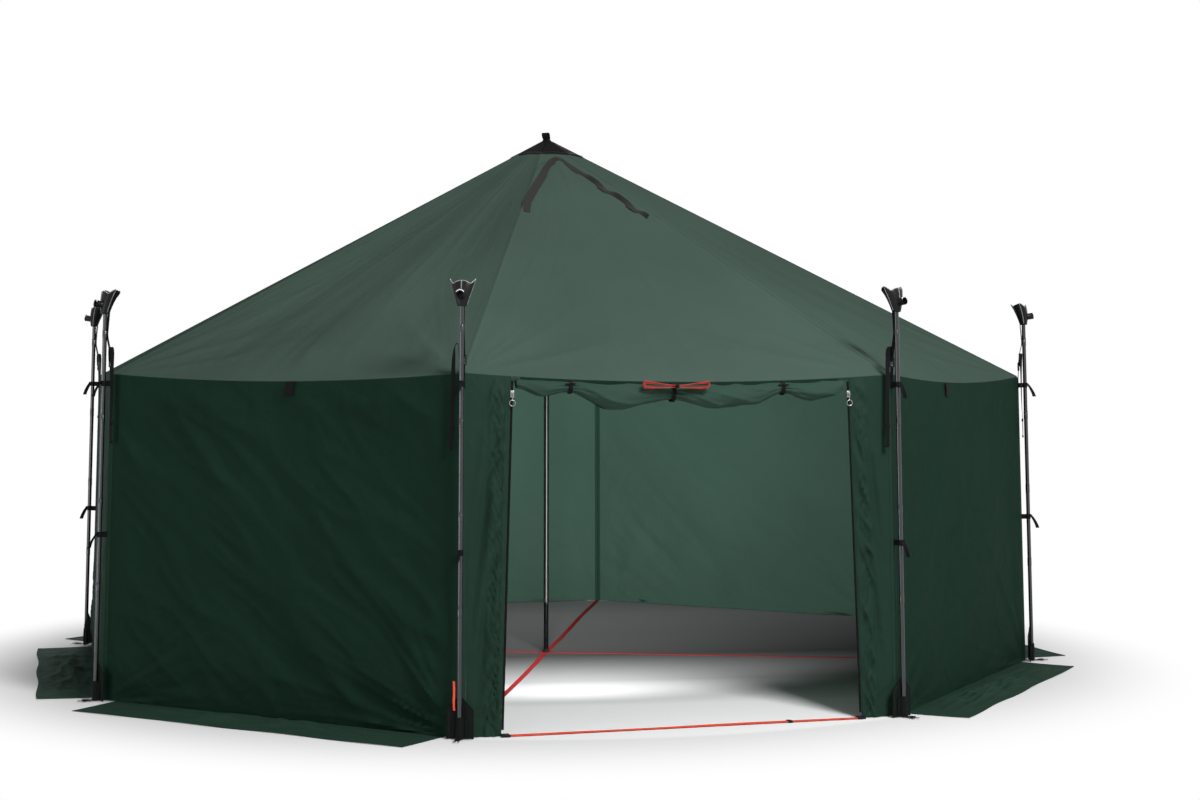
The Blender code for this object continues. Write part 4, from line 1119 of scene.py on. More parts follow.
        def place(u: float, v: float, lift: float = 0.0) -> Vector:
            """A point of the hood: u across it and v down it."""
            down = self.vent_top + (self.vent_bottom - self.vent_top) * v
            half = self.vent_half_top + (self.vent_half - self.vent_half_top) * v ** 0.75
            across = 2 * u - 1
            point = self.front(across * half + self.vent_aside, down)
            peak = max(0.0, 1 - abs(across)) ** 1.2 * max(0.0, 1 - v) ** 1.3
            fan = math.sin(across * 13 + 0.6) * math.sin(math.pi * min(1, v * 1.4)) * (1 - abs(across)) ** 0.5
            loose = 1 - smooth_step((v - 0.35) / 0.50)
            tuck = 0.0030 * smooth_step((v - 0.62) / 0.38)
            point.z += 0.0018 - tuck + self.vent_rise * peak + loose * (0.0014 + 0.0020 * (1 + fan))
            return point + PLAN.gore_normal(0) * lift

        size = (2 * self.vent_half, self.vent_bottom - self.vent_top)
        hood = cloth("vent_hood_cloth", 64, 48, place, size, 0.0010)
        self.dress(hood, "roof_cloth", "roof_green", nodes=("vent_hood",))
        path, turns = [], []
        for step in range(-self.tape_steps, self.tape_steps + 1):
            t = step / self.tape_steps
            bend = math.hypot(t, self.tape_round) - self.tape_round
            v = self.tape_top + (1 - self.tape_top) * bend * (1.17 if t > 0 else 1.10)
            half = self.vent_half_top + (self.vent_half - self.vent_half_top) * v ** 0.75
            across = max(-0.97, min(0.97, self.tape_spread * t / half))
            path.append(place(0.5 + 0.5 * across, v, 0.0026))
            turns.append(smooth_step((t - 0.2) / 0.25) * (0.45 + 0.60 * math.sin(step * 0.38)))
        tape = ribbon("vent_binding", path, laid(path, PLAN.gore_normal(0), turns), self.vent_tape, 0.0014, 0.0008)
        self.dress(tape, "vent_binding", "roof_green")


@dataclass
class Walls(Assembly):
    """The seven closed wall panels, their hems, and the skirts on the ground outside them."""

    cloth: float = 0.0011
    columns: int = 104
    rows: int = 80
    fold: float = 0.012
    seam_reach: float = 0.015
    crease: float = 0.0260
    tug: float = 0.0170
    pucker: float = 0.0050
    skirt_width: float = 0.235
    skirt_start: float = 0.062
    skirt_cut_in: float = 0.075
    hem_width: float = 0.016
    tabs: tuple[tuple[int, float], ...] = ((7, 0.54), (1, 0.382))
    tab: tuple[float, float] = (0.036, 0.050)
    wall_share: float = 0.985
    foot: float = 0.0022

    def build(self) -> None:
        """Make the panels and skirts of every closed bay."""
        for bay in range(1, PLAN.sides):
            self.panel(bay)
            self.skirt(bay)
        for bay, along in self.tabs:
            self.eave_tab(bay, along)

    def push(self, bay: int, u: float, v: float) -> float:
        """How far a panel's cloth stands off its flat plane.

        Args:
            bay: The bay.
            u: The place along it.
            v: The place up it.

        Returns:
            The distance outwards.
        """
        still = math.sin(math.pi * u) * math.sin(math.pi * min(1.0, v * 1.08)) ** 0.6
        slant = math.sin(2 * math.pi * (1.15 * u + 0.75 * v) + bay)
        fan = 0.5 * math.sin(2 * math.pi * (2.2 * u - 1.4 * v) + 2.1 * bay)
        lean = 1 if bay > 4 else -1
        down, over = 1.25 * lean * u - 0.72 * v, 0.95 * lean * u + 0.96 * v
        seed = Vector((bay * 5.7, 0, 0))
        patch = 0.35 + 0.9 * max(0.0, noise.noise(Vector((u * 2.2, v * 2.0, 1.3)) + seed))
        patch *= 1.0 if bay == 7 else 0.35
        drag = patch * ridge(noise.noise(Vector((down * 1.4, over * 5.0, 2.2)) + seed))
        fine = 0.5 * patch * ridge(noise.noise(Vector((down * 3.0, over * 12.0, 6.5)) + seed))
        corner = min(u, 1 - u) * PLAN.width(0)
        near = math.hypot(corner, v * PLAN.eave)
        turn = math.atan2(v * PLAN.eave, corner + 1e-6)
        pull = self.tug * (1.5 if u > 0.5 and bay == 7 else 0.8) * math.exp(-near / 0.36) * min(1, near / 0.15)
        wander = noise.noise(Vector((turn * 5.5, near * 1.2, bay * 2.3 + (9.0 if u > 0.5 else 0.0))))
        tug = pull * (0.75 * ridge(wander * 2.2) + 0.35 * math.sin(turn * 13 + 2 * bay + math.sin(near * 9)))
        pucker = self.pucker * noise.noise(Vector((u * 40, v * 4, bay))) * math.exp(-(1 - v) * 13)
        foot = 0.0035 * math.sin(u * 31 + bay) * math.exp(-v * 9) * min(1, v * 12)
        edge = min(1.0, min(u, 1 - u) * 14) * min(1.0, (1 - v) * 14)
        small = self.crease * (drag + fine) * min(1, v * 8) + foot + tug + pucker
        return self.fold * still * (slant + fan) / 1.5 + edge * small

    def panel(self, bay: int) -> None:
        """One bay's wall, from its foot hem to the eave."""

        def place(u: float, v: float, lift: float = 0.0) -> Vector:
            """A point of the panel."""
            margin = (self.seam_reach + PLAN.gap) / PLAN.width(PLAN.eave * v)
            along = min(max(u, margin), 1 - margin)
            top = PLAN.eave_at(along) - 0.0003
            return PLAN.wall(bay, along, self.foot + (top - self.foot) * v, self.push(bay, u, v) + lift)

        name = PLAN.bays[bay]
        size = (PLAN.width(0), PLAN.eave)
        share = 1.5 if bay == 7 else 1.0
        columns, rows = int(self.columns * share), int(self.rows * share)
        piece = cloth(f"wall_{name}_cloth", columns, rows, place, size, self.cloth)
        self.dress(piece, "wall_cloth", "wall_green", nodes=(f"wall_{name}",), lining="inner_cloth")

        def hem_place(u: float, v: float) -> Vector:
            """A point of the foot hem."""
            return place(0.012 + 0.976 * u, self.hem_width / PLAN.eave * (0.04 + v), 0.0012)

        hem = cloth(f"wall_{name}_hem", 72, 2, hem_place, (size[0], self.hem_width), 0.0009)
        self.dress(hem, "wall_cloth", "wall_green")

    def skirt(self, bay: int) -> None:
        """One bay's skirt, flat on the ground with its edge hem."""

        def place(u: float, v: float, lift: float = 0.0) -> Vector:
            """A point of the skirt, from the wall's foot outwards."""
            margin = (self.skirt_start + (self.skirt_cut_in - self.skirt_start) * v) / PLAN.width(0)
            wander = 0.004 * math.sin(5 * math.pi * u + bay) * v ** 3
            point = PLAN.wall(bay, margin + (1 - 2 * margin) * u, 0, self.skirt_width * v - 0.002 + wander)
            wave = math.sin(math.pi * u) * math.sin(math.pi * v) ** 1.5
            ripple = 0.5 + 0.5 * math.sin(9 * math.pi * u + 2 * bay + 3 * v)
            small = ridge(noise.noise(Vector((u * 12, v * 2.4, bay * 3.7))))
            small += ridge(noise.noise(Vector((u * 3.5, v * 6.0, bay * 2.9))))
            edge = 0.0022 * (0.5 + 0.5 * math.sin(23 * u + bay * 1.7)) * v ** 4
            point.z = 0.0010 + 0.0100 * wave * ripple + 0.0105 * wave * small + edge + lift
            return point

        name = PLAN.bays[bay]
        size = (PLAN.width(0) - 2 * self.skirt_start, self.skirt_width)
        piece = cloth(f"skirt_{name}_cloth", 96, 28, place, size, 0.0010)
        self.dress(piece, "skirt_cloth", "skirt_green", nodes=(f"skirt_{name}",))
        hem = cloth(
            f"skirt_{name}_hem", 72, 2, lambda u, v: place(0.002 + 0.996 * u, 0.93 + 0.066 * v, 0.0011),
            (size[0], self.hem_width), 0.0008,
        )
        self.dress(hem, "skirt_cloth", "skirt_green")

    def eave_tab(self, bay: int, along: float) -> None:
        """The small webbing tab that hangs at the middle of an eave."""
        foot = PLAN.wall(bay, along, PLAN.eave, self.push(bay, along, 0.96) + 0.0045)
        foot.z = PLAN.eave_at(along) - 0.001
        out = PLAN.outward(bay)
        width, length = self.tab
        path = eased([foot + out * 0.001, foot + out * 0.0045 - UP * (length * 0.5),
                      foot + out * 0.0035 - UP * length], 8)
        side = out.cross(UP)
        self.dress(ribbon(f"eave_tab_{PLAN.bays[bay]}", path, side, width, 0.0016, 0.0005), "black_webbing")


@dataclass
class Doorway(Assembly):
    """The side panels, zips, rolled-up door, its ties and the stored guy line."""

    cloth: float = 0.0011
    zip_top: tuple[float, float] = (0.603, 1.176)
    zip_bottom: tuple[float, float] = (0.642, 0.020)
    zip_width: float = 0.008
    zip_tape: float = 0.030
    tooth_pitch: float = 0.0032
    slider_rest: float = 0.045
    pin_radius: float = 0.0010
    pull_eye: tuple[float, float] = (0.0034, 0.0010)
    pull_ring: tuple[float, float] = (0.0100, 0.0014)
    panel_crinkle: float = 0.0115
    panel_fold: float = 0.009
    panel_flat: float = 0.15
    panel_area: float = 0.172
    panel_foot: float = 0.0023
    stations: tuple[tuple[float, float], ...] = (
        (-0.588, 0.018), (-0.500, 0.029), (-0.406, 0.020), (-0.262, 0.048), (-0.045, 0.030),
        (0.110, 0.044), (0.250, 0.039), (0.356, 0.021), (0.465, 0.036), (0.545, 0.030), (0.580, 0.018),
    )
    roll_length: float = 1.17
    header: float = 0.014
    roll_turns: float = 9.4
    roll_outer: float = 1.15
    roll_end_angle: float = math.radians(250)
    ties: tuple[tuple[str, float], ...] = (("left", -0.406), ("centre", -0.045), ("right", 0.356))
    tie_band: float = 0.012
    tie_wall: float = 0.0020
    toggle: tuple[float, float] = (0.036, 0.0035)
    toggle_turn: float = math.radians(32)
    cord_radius: float = 0.0015
    hank_half: float = 0.117
    hank_lobe: float = 0.0085
    hank_waist: float = 0.0032
    hank_loops: int = 6
    hank_pitch: float = 0.0037
    hank_bend_share: float = 2 / 3
    hank_drop: float = -0.006
    hank_stand_off: float = 0.0040
    hank_below_top: float = 0.009
    knot_scale: float = 0.0011

    def build(self) -> None:
        """Make the whole doorway."""
        for side in Side:
            self.panel(side)
            self.zip(side)
            self.slider(side)
            self.pull(side)
        self.roll()
        for label, x in self.ties:
            self.tie(label, x)
        self.hank()

    def zip_x(self, height: float) -> float:
        """The zip line's distance from the doorway's middle at a height."""
        share = (height - self.zip_bottom[1]) / (self.zip_top[1] - self.zip_bottom[1])
        return self.zip_bottom[0] + (self.zip_top[0] - self.zip_bottom[0]) * share

    def zip_frame(self, side: Side) -> tuple[Matrix, float]:
        """A zip's frame and length: origin at its top, X across it, Y inward, Z up it."""
        top = PLAN.door(side.value * self.zip_top[0], self.zip_top[1])
        bottom = PLAN.door(side.value * self.zip_bottom[0], self.zip_bottom[1])
        up = (top - bottom).normalized()
        across = Vector((0, 1, 0)).cross(up).normalized()
        rotation = Matrix((across, up.cross(across), up)).transposed().to_4x4()
        return Matrix.Translation(top) @ rotation, (top - bottom).length

    def panel(self, side: Side) -> None:
        """The narrow panel between a zip and its wall corner, with the zip's facing strip."""

        def place(u: float, v: float, lift: float = 0.0) -> Vector:
            """A point of the panel, from the zip outwards."""
            height = PLAN.eave * v
            for _ in range(3):
                inner = self.zip_x(height) + self.zip_width / 2 + 2 * PLAN.gap
                outer = PLAN.width(height) / 2 - 0.015 - PLAN.gap
                x = side.value * (inner + (outer - inner) * u)
                top = PLAN.eave_at((1 + 2 * x / PLAN.width(PLAN.eave)) / 2) - 0.0003
                height = self.panel_foot + (top - self.panel_foot) * v
            wave = math.sin(math.pi * u) ** 2 * math.sin(math.pi * min(1, v * 1.05))
            fold = self.panel_fold * wave * math.sin(5 * math.pi * v + 4 * math.pi * u)
            held = math.sin(math.pi * min(1.0, u * 1.6 + 0.12)) * min(1.0, u * 9) * min(1.0, (1 - v) * 20)
            broad = ridge(noise.noise(Vector((u * 2.2, v * 15 + u * 4, side.value * 4.0))))
            fine = ridge(noise.noise(Vector((u * 4.5, v * 34 - u * 9, side.value * 7.0))))
            small = self.panel_crinkle * held * (broad + 0.45 * fine)
            return PLAN.door(x, height, fold + small + lift)

        name = f"door_panel_{side.label}"
        piece = cloth(f"{name}_cloth", 36, 200, place, (0.14, PLAN.eave), self.cloth)
        self.dress(piece, "jamb_cloth", "wall_green", nodes=(name,), lining="inner_cloth")
        facing = cloth(
            f"{name}_facing", 3, 90, lambda u, v: place(0.02 + 0.12 * u, 0.004 + 0.992 * v, 0.0012),
            (0.016, PLAN.eave), 0.0009,
        )
        self.dress(facing, "jamb_cloth", "wall_green")

    def zip(self, side: Side) -> None:
        """A zip's tape and its two rows of coil."""
        frame, length = self.zip_frame(side)
        tape = block(
            f"zip_{side.label}_tape", (self.zip_width, 0.0011, length),
            frame @ Matrix.Translation((0, 0.0006, -length / 2)), 0.0003, 1,
        )
        self.dress(tape, "zip_tape", "zip_black", nodes=(f"zip_{side.label}",))
        for row in (-1, 1):
            turns = int(length / self.tooth_pitch)
            points = []
            for step in range(turns * 6 + 1):
                phase = 2 * math.pi * step / 6
                local = Vector((
                    row * 0.0011 + 0.0012 * math.cos(phase) * row, -0.0002 + 0.0008 * math.sin(phase),
                    -length * step / (turns * 6),
                ))
                points.append(frame @ local)
            coil = tube(f"zip_{side.label}_coil_{'inner' if row < 0 else 'outer'}", points, 0.0004, resolution=0)
            self.dress(coil, "zip_teeth", "zip_black")

    def slider(self, side: Side) -> None:
        """A zip's slider: a cast body with a waist, a bridge and the pin that its pull hangs on."""
        frame, _ = self.zip_frame(side)
        rest = frame @ Matrix.Translation((0, 0, -self.slider_rest))
        front = -0.0044
        plate, cheek, lug = (0.0125, 0.0022, 0.0236), (0.0022, 0.0088, 0.0226), (0.0016, 0.0086, 0.0064)
        pieces = blocks(rest, [
            (plate, (0, front + 0.0011, 0), 0.0009, 3), (plate, (0, 0.0033, 0), 0.0009, 3),
            (cheek, (-side.value * 0.0055, -0.0004, 0), 0.0007, 2),
            (lug, (-0.003, front - 0.0038, 0), 0.0006, 2), (lug, (0.003, front - 0.0038, 0), 0.0006, 2),
        ])
        pin = rest @ Matrix.Translation((0, front - 0.0063, 0)) @ ALONG_X
        outline = [(0, -0.0038), (0.0009, -0.0038), (0.0010, -0.0036), (0.0010, 0.0036), (0.0009, 0.0038), (0, 0.0038)]
        body = joined(f"zip_slider_{side.label}_body", [*pieces, turned("pin", outline, pin, 16)])
        name = f"zip_slider_{side.label}"
        self.dress(body, "steel", body=name, nodes=(name,))

    def pull(self, side: Side) -> None:
        """A ring pull on its slider's pin."""
        frame, _ = self.zip_frame(side)
        hinge = frame @ Matrix.Translation((0, -0.0107, -self.slider_rest))
        (loop, wire), (radius, thick) = self.pull_eye, self.pull_ring
        drop = loop - wire - self.pin_radius - PLAN.gap
        eye = hinge @ Matrix.Translation((0, 0, -drop)) @ ALONG_X
        top = -drop - loop
        shank = [
            (0, 0), (0.0012, 0), (0.0014, 0.0006), (0.0011, 0.005), (0.0011, 0.011), (0.0014, 0.0154),
            (0.0012, 0.016), (0, 0.016),
        ]
        turn = Matrix.Translation((0, 0, top - 0.016 - radius + 0.0004)) @ FORWARD
        pieces = [
            ring("eye", loop, wire, eye, 24, 8),
            turned("shank", shank, hinge @ Matrix.Translation((0, 0, top - 0.0152)), 16),
            ring("ring", radius, thick, hinge @ turn, 40, 12),
        ]
        name = f"zip_pull_{side.label}"
        self.dress(joined(f"{name}_ring", pieces), "steel", body=name, nodes=(name,))

    def at_tie(self, x: float) -> float:
        """A place along the roll, or the middle of the tie that it lies under."""
        near = [place for _, place in self.ties if abs(x - place) < self.tie_band + 0.001]
        return near[0] if near else x

    def roll_radius(self, x: float) -> float:
        """The rolled door's radius at a place along the doorway."""
        x = self.at_tie(x)
        for (x0, r0), (x1, r1) in zip(self.stations, self.stations[1:]):
            if x <= x1:
                return r0 + (r1 - r0) * smooth_step((x - x0) / (x1 - x0))
        return self.stations[-1][1]

    def bore(self, x: float) -> float:
        """The bore of the tie's band at a place."""
        return (self.roll_radius(x) + PLAN.gap) / math.cos(math.pi / 16)

    def roll_centre(self, x: float) -> Vector:
        """The middle of the rolled door, which hangs just under the eave."""
        share = 0.5 + self.at_tie(x) / PLAN.width(PLAN.eave)
        top = PLAN.eave_at(share) - 0.0045
        return PLAN.door(x, top - self.bore(x))

    def roll(self) -> None:
        """The rolled-up door: a wound sheet with puffs between its ties and creases drawn in at them."""
        first, last = self.stations[0][0], self.stations[-1][0]

        def place(u: float, v: float) -> Vector:
            """A point of the roll: u along the wound cloth from its core, v along the roll."""
            inner = self.roll_turns - self.roll_outer
            turn = inner * u / 0.6 if u < 0.6 else inner + self.roll_outer * (u - 0.6) / 0.4
            x = first + (last - first) * v
            centre, radius = self.roll_centre(x), self.roll_radius(x)
            angle = 2 * math.pi * (turn - self.roll_turns) + self.roll_end_angle
            layer = 0.15 + 0.85 * turn / self.roll_turns
            gather = min(abs(x - self.at_tie(tie)) for _, tie in self.ties)
            drawn = math.exp(-gather / 0.055)
            pleat = 0.20 * drawn * math.sin(9 * angle + 4 * math.sin(x * 9)) + 0.07 * drawn * math.sin(17 * angle)
            puff = noise.noise(Vector((x * 8 + math.sin(angle) * 1.1, math.cos(angle) * 1.3, 4.4)))
            slack = 0.15 * ridge(puff) * (1 - 0.6 * drawn)
            reach = radius * layer * (0.93 + 0.5 * (pleat - abs(pleat)) + slack - 0.05)
            wobble = 0.0035 * math.sin(2.3 * turn + side_of(x)) * (abs(2 * v - 1) ** 30)
            return beside(centre, reach, angle) + Vector((wobble, 0, 0))

        piece = cloth("door_roll_cloth", 170, 200, place, (self.roll_length, last - first), 0.0010)
        self.dress(piece, "door_cloth", "wall_green", nodes=("door_roll",))

        def header_place(u: float, v: float) -> Vector:
            """A point of the strip that carries the roll from the eave."""
            x = (first + 0.012) + (last - first - 0.024) * u
            share = 0.5 + x / PLAN.width(PLAN.eave)
            return PLAN.door(x, PLAN.eave_at(share) - 0.0003 - self.header * (1 - v))

        header = cloth("door_header", 120, 2, header_place, (last - first, self.header), 0.0010)
        self.dress(header, "wall_cloth", "wall_green")

    def tie(self, label: str, x: float) -> None:
        """A band round the roll, with its sewn hanger and its toggle or its clasp for the hank.

        Args:
            label: Which tie it is.
            x: Its place along the doorway.
        """
        centre = self.roll_centre(x)
        bore = self.bore(x)
        path = circuit(56, lambda turn: beside(centre, bore + self.tie_wall * 0.55, turn + QUARTER))
        band = ribbon(f"door_tie_{label}_band", path, RIGHT, self.tie_band, 0.0016, -0.0003)
        self.dress(band, "black_webbing", nodes=(f"door_tie_{label}",))
        top = PLAN.eave_at(0.5 + x / PLAN.width(PLAN.eave)) - 0.0016
        rise = top - centre.z
        hanger = block(
            f"door_tie_{label}_hanger", (self.tie_band, 0.0034, rise - bore + 0.001),
            Matrix.Translation(centre + Vector((0, 0.002, (rise + bore) / 2))), 0.0008,
        )
        self.dress(hanger, "black_webbing")
        if label == "centre":
            self.clasp()
            return
        reach = bore + self.tie_wall + self.toggle[1] * 0.6
        place = Matrix.Translation(beside(centre, reach, self.toggle_turn))
        half, radius = self.toggle[0] / 2, self.toggle[1]
        outline = [
            (0, half), (radius * 0.6, half), (radius * 0.95, half - 0.0012), (radius, half - 0.004),
            (radius * 0.80, 0.004), (radius * 0.62, 0.0025),
        ]
        outline = [(r, -z) for r, z in outline] + outline[::-1]
        lie = Matrix.Rotation(math.radians(7), 4, "X") @ ALONG_X
        self.dress(turned(f"door_tie_{label}_toggle", outline, place @ lie, 28), "black_plastic")
        wrap = ring(
            f"door_tie_{label}_wrap", radius * 0.62 + 0.0012, 0.0011, place @ ALONG_X, 24, 8,
        )
        self.dress(wrap, "black_webbing")

    def hank_centre(self) -> Vector:
        """The middle of the stored guy line, in front of the roll under its centre tie."""
        x = self.ties[1][1]
        radius = self.roll_radius(x)
        reach = radius + self.tie_wall + self.hank_loops * self.hank_pitch / 2 + self.cord_radius + self.hank_stand_off
        return self.roll_centre(x) + Vector((0, -reach, radius - self.hank_below_top))

    def clasp(self) -> None:
        """The webbing loop that holds the hank to the middle tie."""
        middle = self.hank_centre()
        deep = self.hank_loops * self.hank_pitch / 2 + self.cord_radius + 0.0016
        high = self.hank_waist + self.cord_radius + 0.0016

        def edge(turn: float) -> Vector:
            """A point of the loop round the hank."""
            ahead, up = squared(turn, 0.5)
            return middle + Vector((0, deep * ahead, high * up))

        self.dress(ribbon("door_tie_centre_clasp", circuit(48, edge), RIGHT, self.tie_band, 0.0014), "black_webbing")
        bridge = block(
            "door_tie_centre_bridge", (self.tie_band * 0.9, 0.0085, 0.008),
            Matrix.Translation(middle + Vector((0, deep + 0.0042, -0.006))), 0.0012,
        )
        self.dress(bridge, "black_webbing")

    def hank_point(self, turn: float) -> Vector:
        """A point of the stored guy line after a number of turns."""
        lobe = self.hank_lobe * (0.97 + 0.15 * math.sin(2.4 * turn))
        bend = (self.hank_half - self.hank_lobe) * (0.98 + 0.02 * math.sin(1.7 * turn))
        half_turn, share = divmod(2 * (turn % 1.0), 1)
        if share <= self.hank_bend_share:
            angle = math.pi * (share / self.hank_bend_share - 0.5)
            x, z = bend + lobe * math.cos(angle), lobe * math.sin(angle)
        else:
            x = bend * (1 - 2 * (share - self.hank_bend_share) / (1 - self.hank_bend_share))
            z = self.hank_waist + (lobe - self.hank_waist) * smooth_step(abs(x) / bend)
        side = 1 - 2 * half_turn
        droop = self.hank_drop * (x / self.hank_half) ** 2
        y = (turn - self.hank_loops / 2) * self.hank_pitch
        rise = 0.0035 * math.sin(2.9 * turn) * (x / self.hank_half) ** 2
        return self.hank_centre() + Vector((side * x, y, side * z - droop + rise))

    def hank(self) -> None:
        """The spare guy line, one unbroken cord laid in long loops, with a knot at each end."""
        steps = 60
        points = [self.hank_point(step / steps) for step in range(self.hank_loops * steps + 1)]
        cord = strand("guy_line_hank_cord", points, self.cord_radius, False, 3)
        self.dress(cord, "red_cord", nodes=("guy_line_hank",))
        length = sum((b - a).length for a, b in zip(points, points[1:]))
        knots = [self.knot(f"guy_line_knot_{name}", points[place]) for name, place in (("start", 0), ("end", -1))]
        tuple(points[0])
        log.info("guy line: %.3f m in %d loops", length, self.hank_loops)

    def knot(self, name: str, middle: Vector) -> bpy.types.Object:
        """An overhand knot on one end of the guy line."""

        def trefoil(t: float) -> Vector:
            """A point of the knot."""
            bend = Vector((math.sin(t) + 2 * math.sin(2 * t), -math.sin(3 * t), math.cos(t) - 2 * math.cos(2 * t)))
            return middle + bend * self.knot_scale

        path = circuit(60, trefoil)[:-1]
        return self.dress(tube(name, path, self.cord_radius * 0.8, cyclic=True), "red_cord")


@dataclass
class Corner(Assembly):
    """A lashed wall corner: pole, pole top fitting, seam tape, boot, wraps, buckle and pegging ring."""

    pole_radius: float = 0.0080
    pole_top: float = 1.440
    pole_section: float = 0.310
    ferrule: tuple[float, float] = (0.034, 0.0008)
    tip: float = 0.020
    cup_base: float = 1.420
    cup_height: float = 0.090
    cup_neck: float = 0.0140
    cup_half_width: float = 0.042
    cup_half_depth: float = 0.032
    cup_lean: float = 0.020
    cup_scallop: float = 0.012
    cup_drop: float = 0.006
    cup_dish: tuple[float, float] = (-0.018, 0.066)
    spout: Triple = (0.014, 0.0024, 0.026)
    spout_height: float = 0.034
    spout_pitch: float = math.radians(82)
    strap_width: float = 0.015
    seam_reach: float = 0.015
    boot_half: float = 0.045
    boot_shoulder: float = 0.098
    boot_peak: float = 0.142
    boot_front: float = 0.0208
    boot_pocket: float = 0.073
    wraps: tuple[float, float] = (0.610, 1.165)
    wrap_band: float = 0.020
    wrap_tail: float = 0.015
    buckle: Triple = (0.024, 0.0054, 0.034)
    buckle_height: float = 1.243
    buckle_out: float = 0.0045
    tail_arch: float = 0.055
    tail_low: float = 0.945
    tail_reach: float = 0.030
    right_tails: tuple[str, ...] = ("left_front",)
    tail_out: float = 0.012
    keeper_height: float = 1.018
    peg_strap: tuple[float, float] = (0.016, 0.078)
    peg_ring: tuple[float, float] = (0.0100, 0.0014)

    def build(self) -> None:
        """Make one corner in its own frame and copy it to all eight."""
        sources = [
            (self.pole(), "anodised_aluminium", "aluminium", "pole_{}"),
            (self.cup(), "cup_plastic", "black_webbing", "cup_{}"),
            (self.cup_edges(), "cup_edge_plastic", "black_webbing", None),
            (self.spout_mouth(), "cup_plastic", "black_webbing", None),
            (self.spout_ring(), "spout_ring_plastic", "black_webbing", None),
            (self.hoist(), "black_webbing", "black_webbing", None),
            (self.seam(), "seam_tape", "black_webbing", "corner_{}"),
            (self.boot(), "boot_cloth", "black_webbing", None),
            (self.boot_stitches(), "seam_thread", "black_webbing", None),
            (self.bindings(), "black_webbing", "black_webbing", None),
            (self.buckle_frame(), "black_plastic", "black_webbing", None),
            (self.neck(), "black_webbing", "black_webbing", None),
            (self.peg_strap_band(), "black_webbing", "black_webbing", None),
            (self.ring_piece(), "steel", "black_webbing", None),
        ]
        tails = {side: (self.tail(side), "black_webbing", "black_webbing", None) for side in Side}
        for number, name in enumerate(PLAN.corners):
            place = PLAN.corner_frame(number)
            tail = tails[Side.RIGHT if name in self.right_tails else Side.LEFT]
            for source, finish, slot, node in [*sources, tail]:
                piece = copied(source, f"{source.name.removesuffix('_source')}_{name}", place)
                nodes = (node.format(name),) if node else ()
                self.dress(piece, finish, slot, nodes=nodes)
        for source, *_ in [*sources, *tails.values()]:
            bpy.data.objects.remove(source)
        self.red_tab()

    def pole(self) -> bpy.types.Object:
        """The jointed pole, with swaged ferrules and a tip."""
        r, top = self.pole_radius, self.pole_top
        outline = [(0, top), (r * 0.30, top), (r * 0.50, top - 0.0012), (r * 0.58, top - 0.004),
                   (r * 0.75, top - self.tip + 0.001), (r * 0.80, top - self.tip), (r, top - self.tip - 0.0008)]
        length, step = self.ferrule
        for number in range(4, 0, -1):
            joint = number * self.pole_section + 0.125
            if joint + length > top - self.tip:
                continue
            wide = r + step
            foot = joint - length
            outline += [(r, joint + 0.0010), (wide, joint), (wide, joint - 0.006), (wide - 0.0003, joint - 0.0066),
                        (wide - 0.0003, joint - 0.0078), (wide, joint - 0.0084), (wide, foot + 0.001), (r, foot)]
        outline += [(r, 0.0045), (r - 0.0008, 0.0036), (0, 0.0036)]
        stand = Matrix.Translation((0, PLAN.stand_off, 0))
        return turned("wall_pole_source", outline, stand, 40, 30)

    def cup_wall(self, u: float, v: float) -> Vector:
        """A point of the fitting's outer wall, with its three ribs.

        Args:
            u: The place round it, from its right side through its outer face.
            v: The place up it.

        Returns:
            The point in the pole's frame.
        """
        angle = 2 * math.pi * u
        widen = v ** 0.9
        half_x = self.cup_neck + (self.cup_half_width - self.cup_neck) * widen
        half_y = self.cup_neck + (self.cup_half_depth - self.cup_neck) * widen
        outer = max(0.0, math.sin(angle))
        ribs = math.exp(-(math.cos(angle) / 0.10) ** 2) + 0.8 * math.exp(-((abs(math.cos(angle)) - 0.86) / 0.06) ** 2)
        scoop = 0.0022 * outer * math.cos(2 * angle) ** 2 * v
        stand = 0.0016 * outer * ribs * min(1.0, v * 3) - scoop
        x = (half_x + stand * 0.3) * math.cos(angle)
        y = (half_y + stand) * math.sin(angle) - self.cup_lean * v ** 1.6
        drop = self.cup_scallop * (1 - abs(math.cos(2 * angle))) + self.cup_drop * outer
        return Vector((x, y, self.cup_base + self.cup_height * v - drop * v ** 3))

    def cup(self) -> bpy.types.Object:
        """The fan-shaped fitting: outer wall, rolled rim and its hollow top."""
        stand = Vector((0, PLAN.stand_off, 0))
        dish = Vector((0, self.cup_dish[0], self.cup_base + self.cup_dish[1]))

        def place(u: float, v: float) -> Vector:
            """A point of the wall below, and of the hollow above."""
            if v < 0.62:
                return self.cup_wall(u, v / 0.62) + stand
            rim = self.cup_wall(u, 1.0)
            share = (v - 0.62) / 0.38
            centre = dish - UP * 0.010
            inward = rim.lerp(centre, 0.09 + 0.88 * smooth_step(share))
            inward.z -= 0.010 * math.sin(math.pi * share) - 0.0012 * (share < 0.02)
            return inward + stand

        shell = cloth("cup_shell", 96, 46, place, (0.16, 0.13), 0.0014, wrap=True)
        sole = [(0.0086, self.cup_base - 0.0002), (self.cup_neck - 0.0008, self.cup_base - 0.0002),
                (self.cup_neck, self.cup_base + 0.0008), (self.cup_neck - 0.0010, self.cup_base + 0.003),
                (0.0086, self.cup_base + 0.003), (0.0086, self.cup_base - 0.0002)]
        foot = turned("cup_foot", sole, Matrix.Translation(stand), 48, 40)
        return joined("pole_cup_source", [shell, foot])

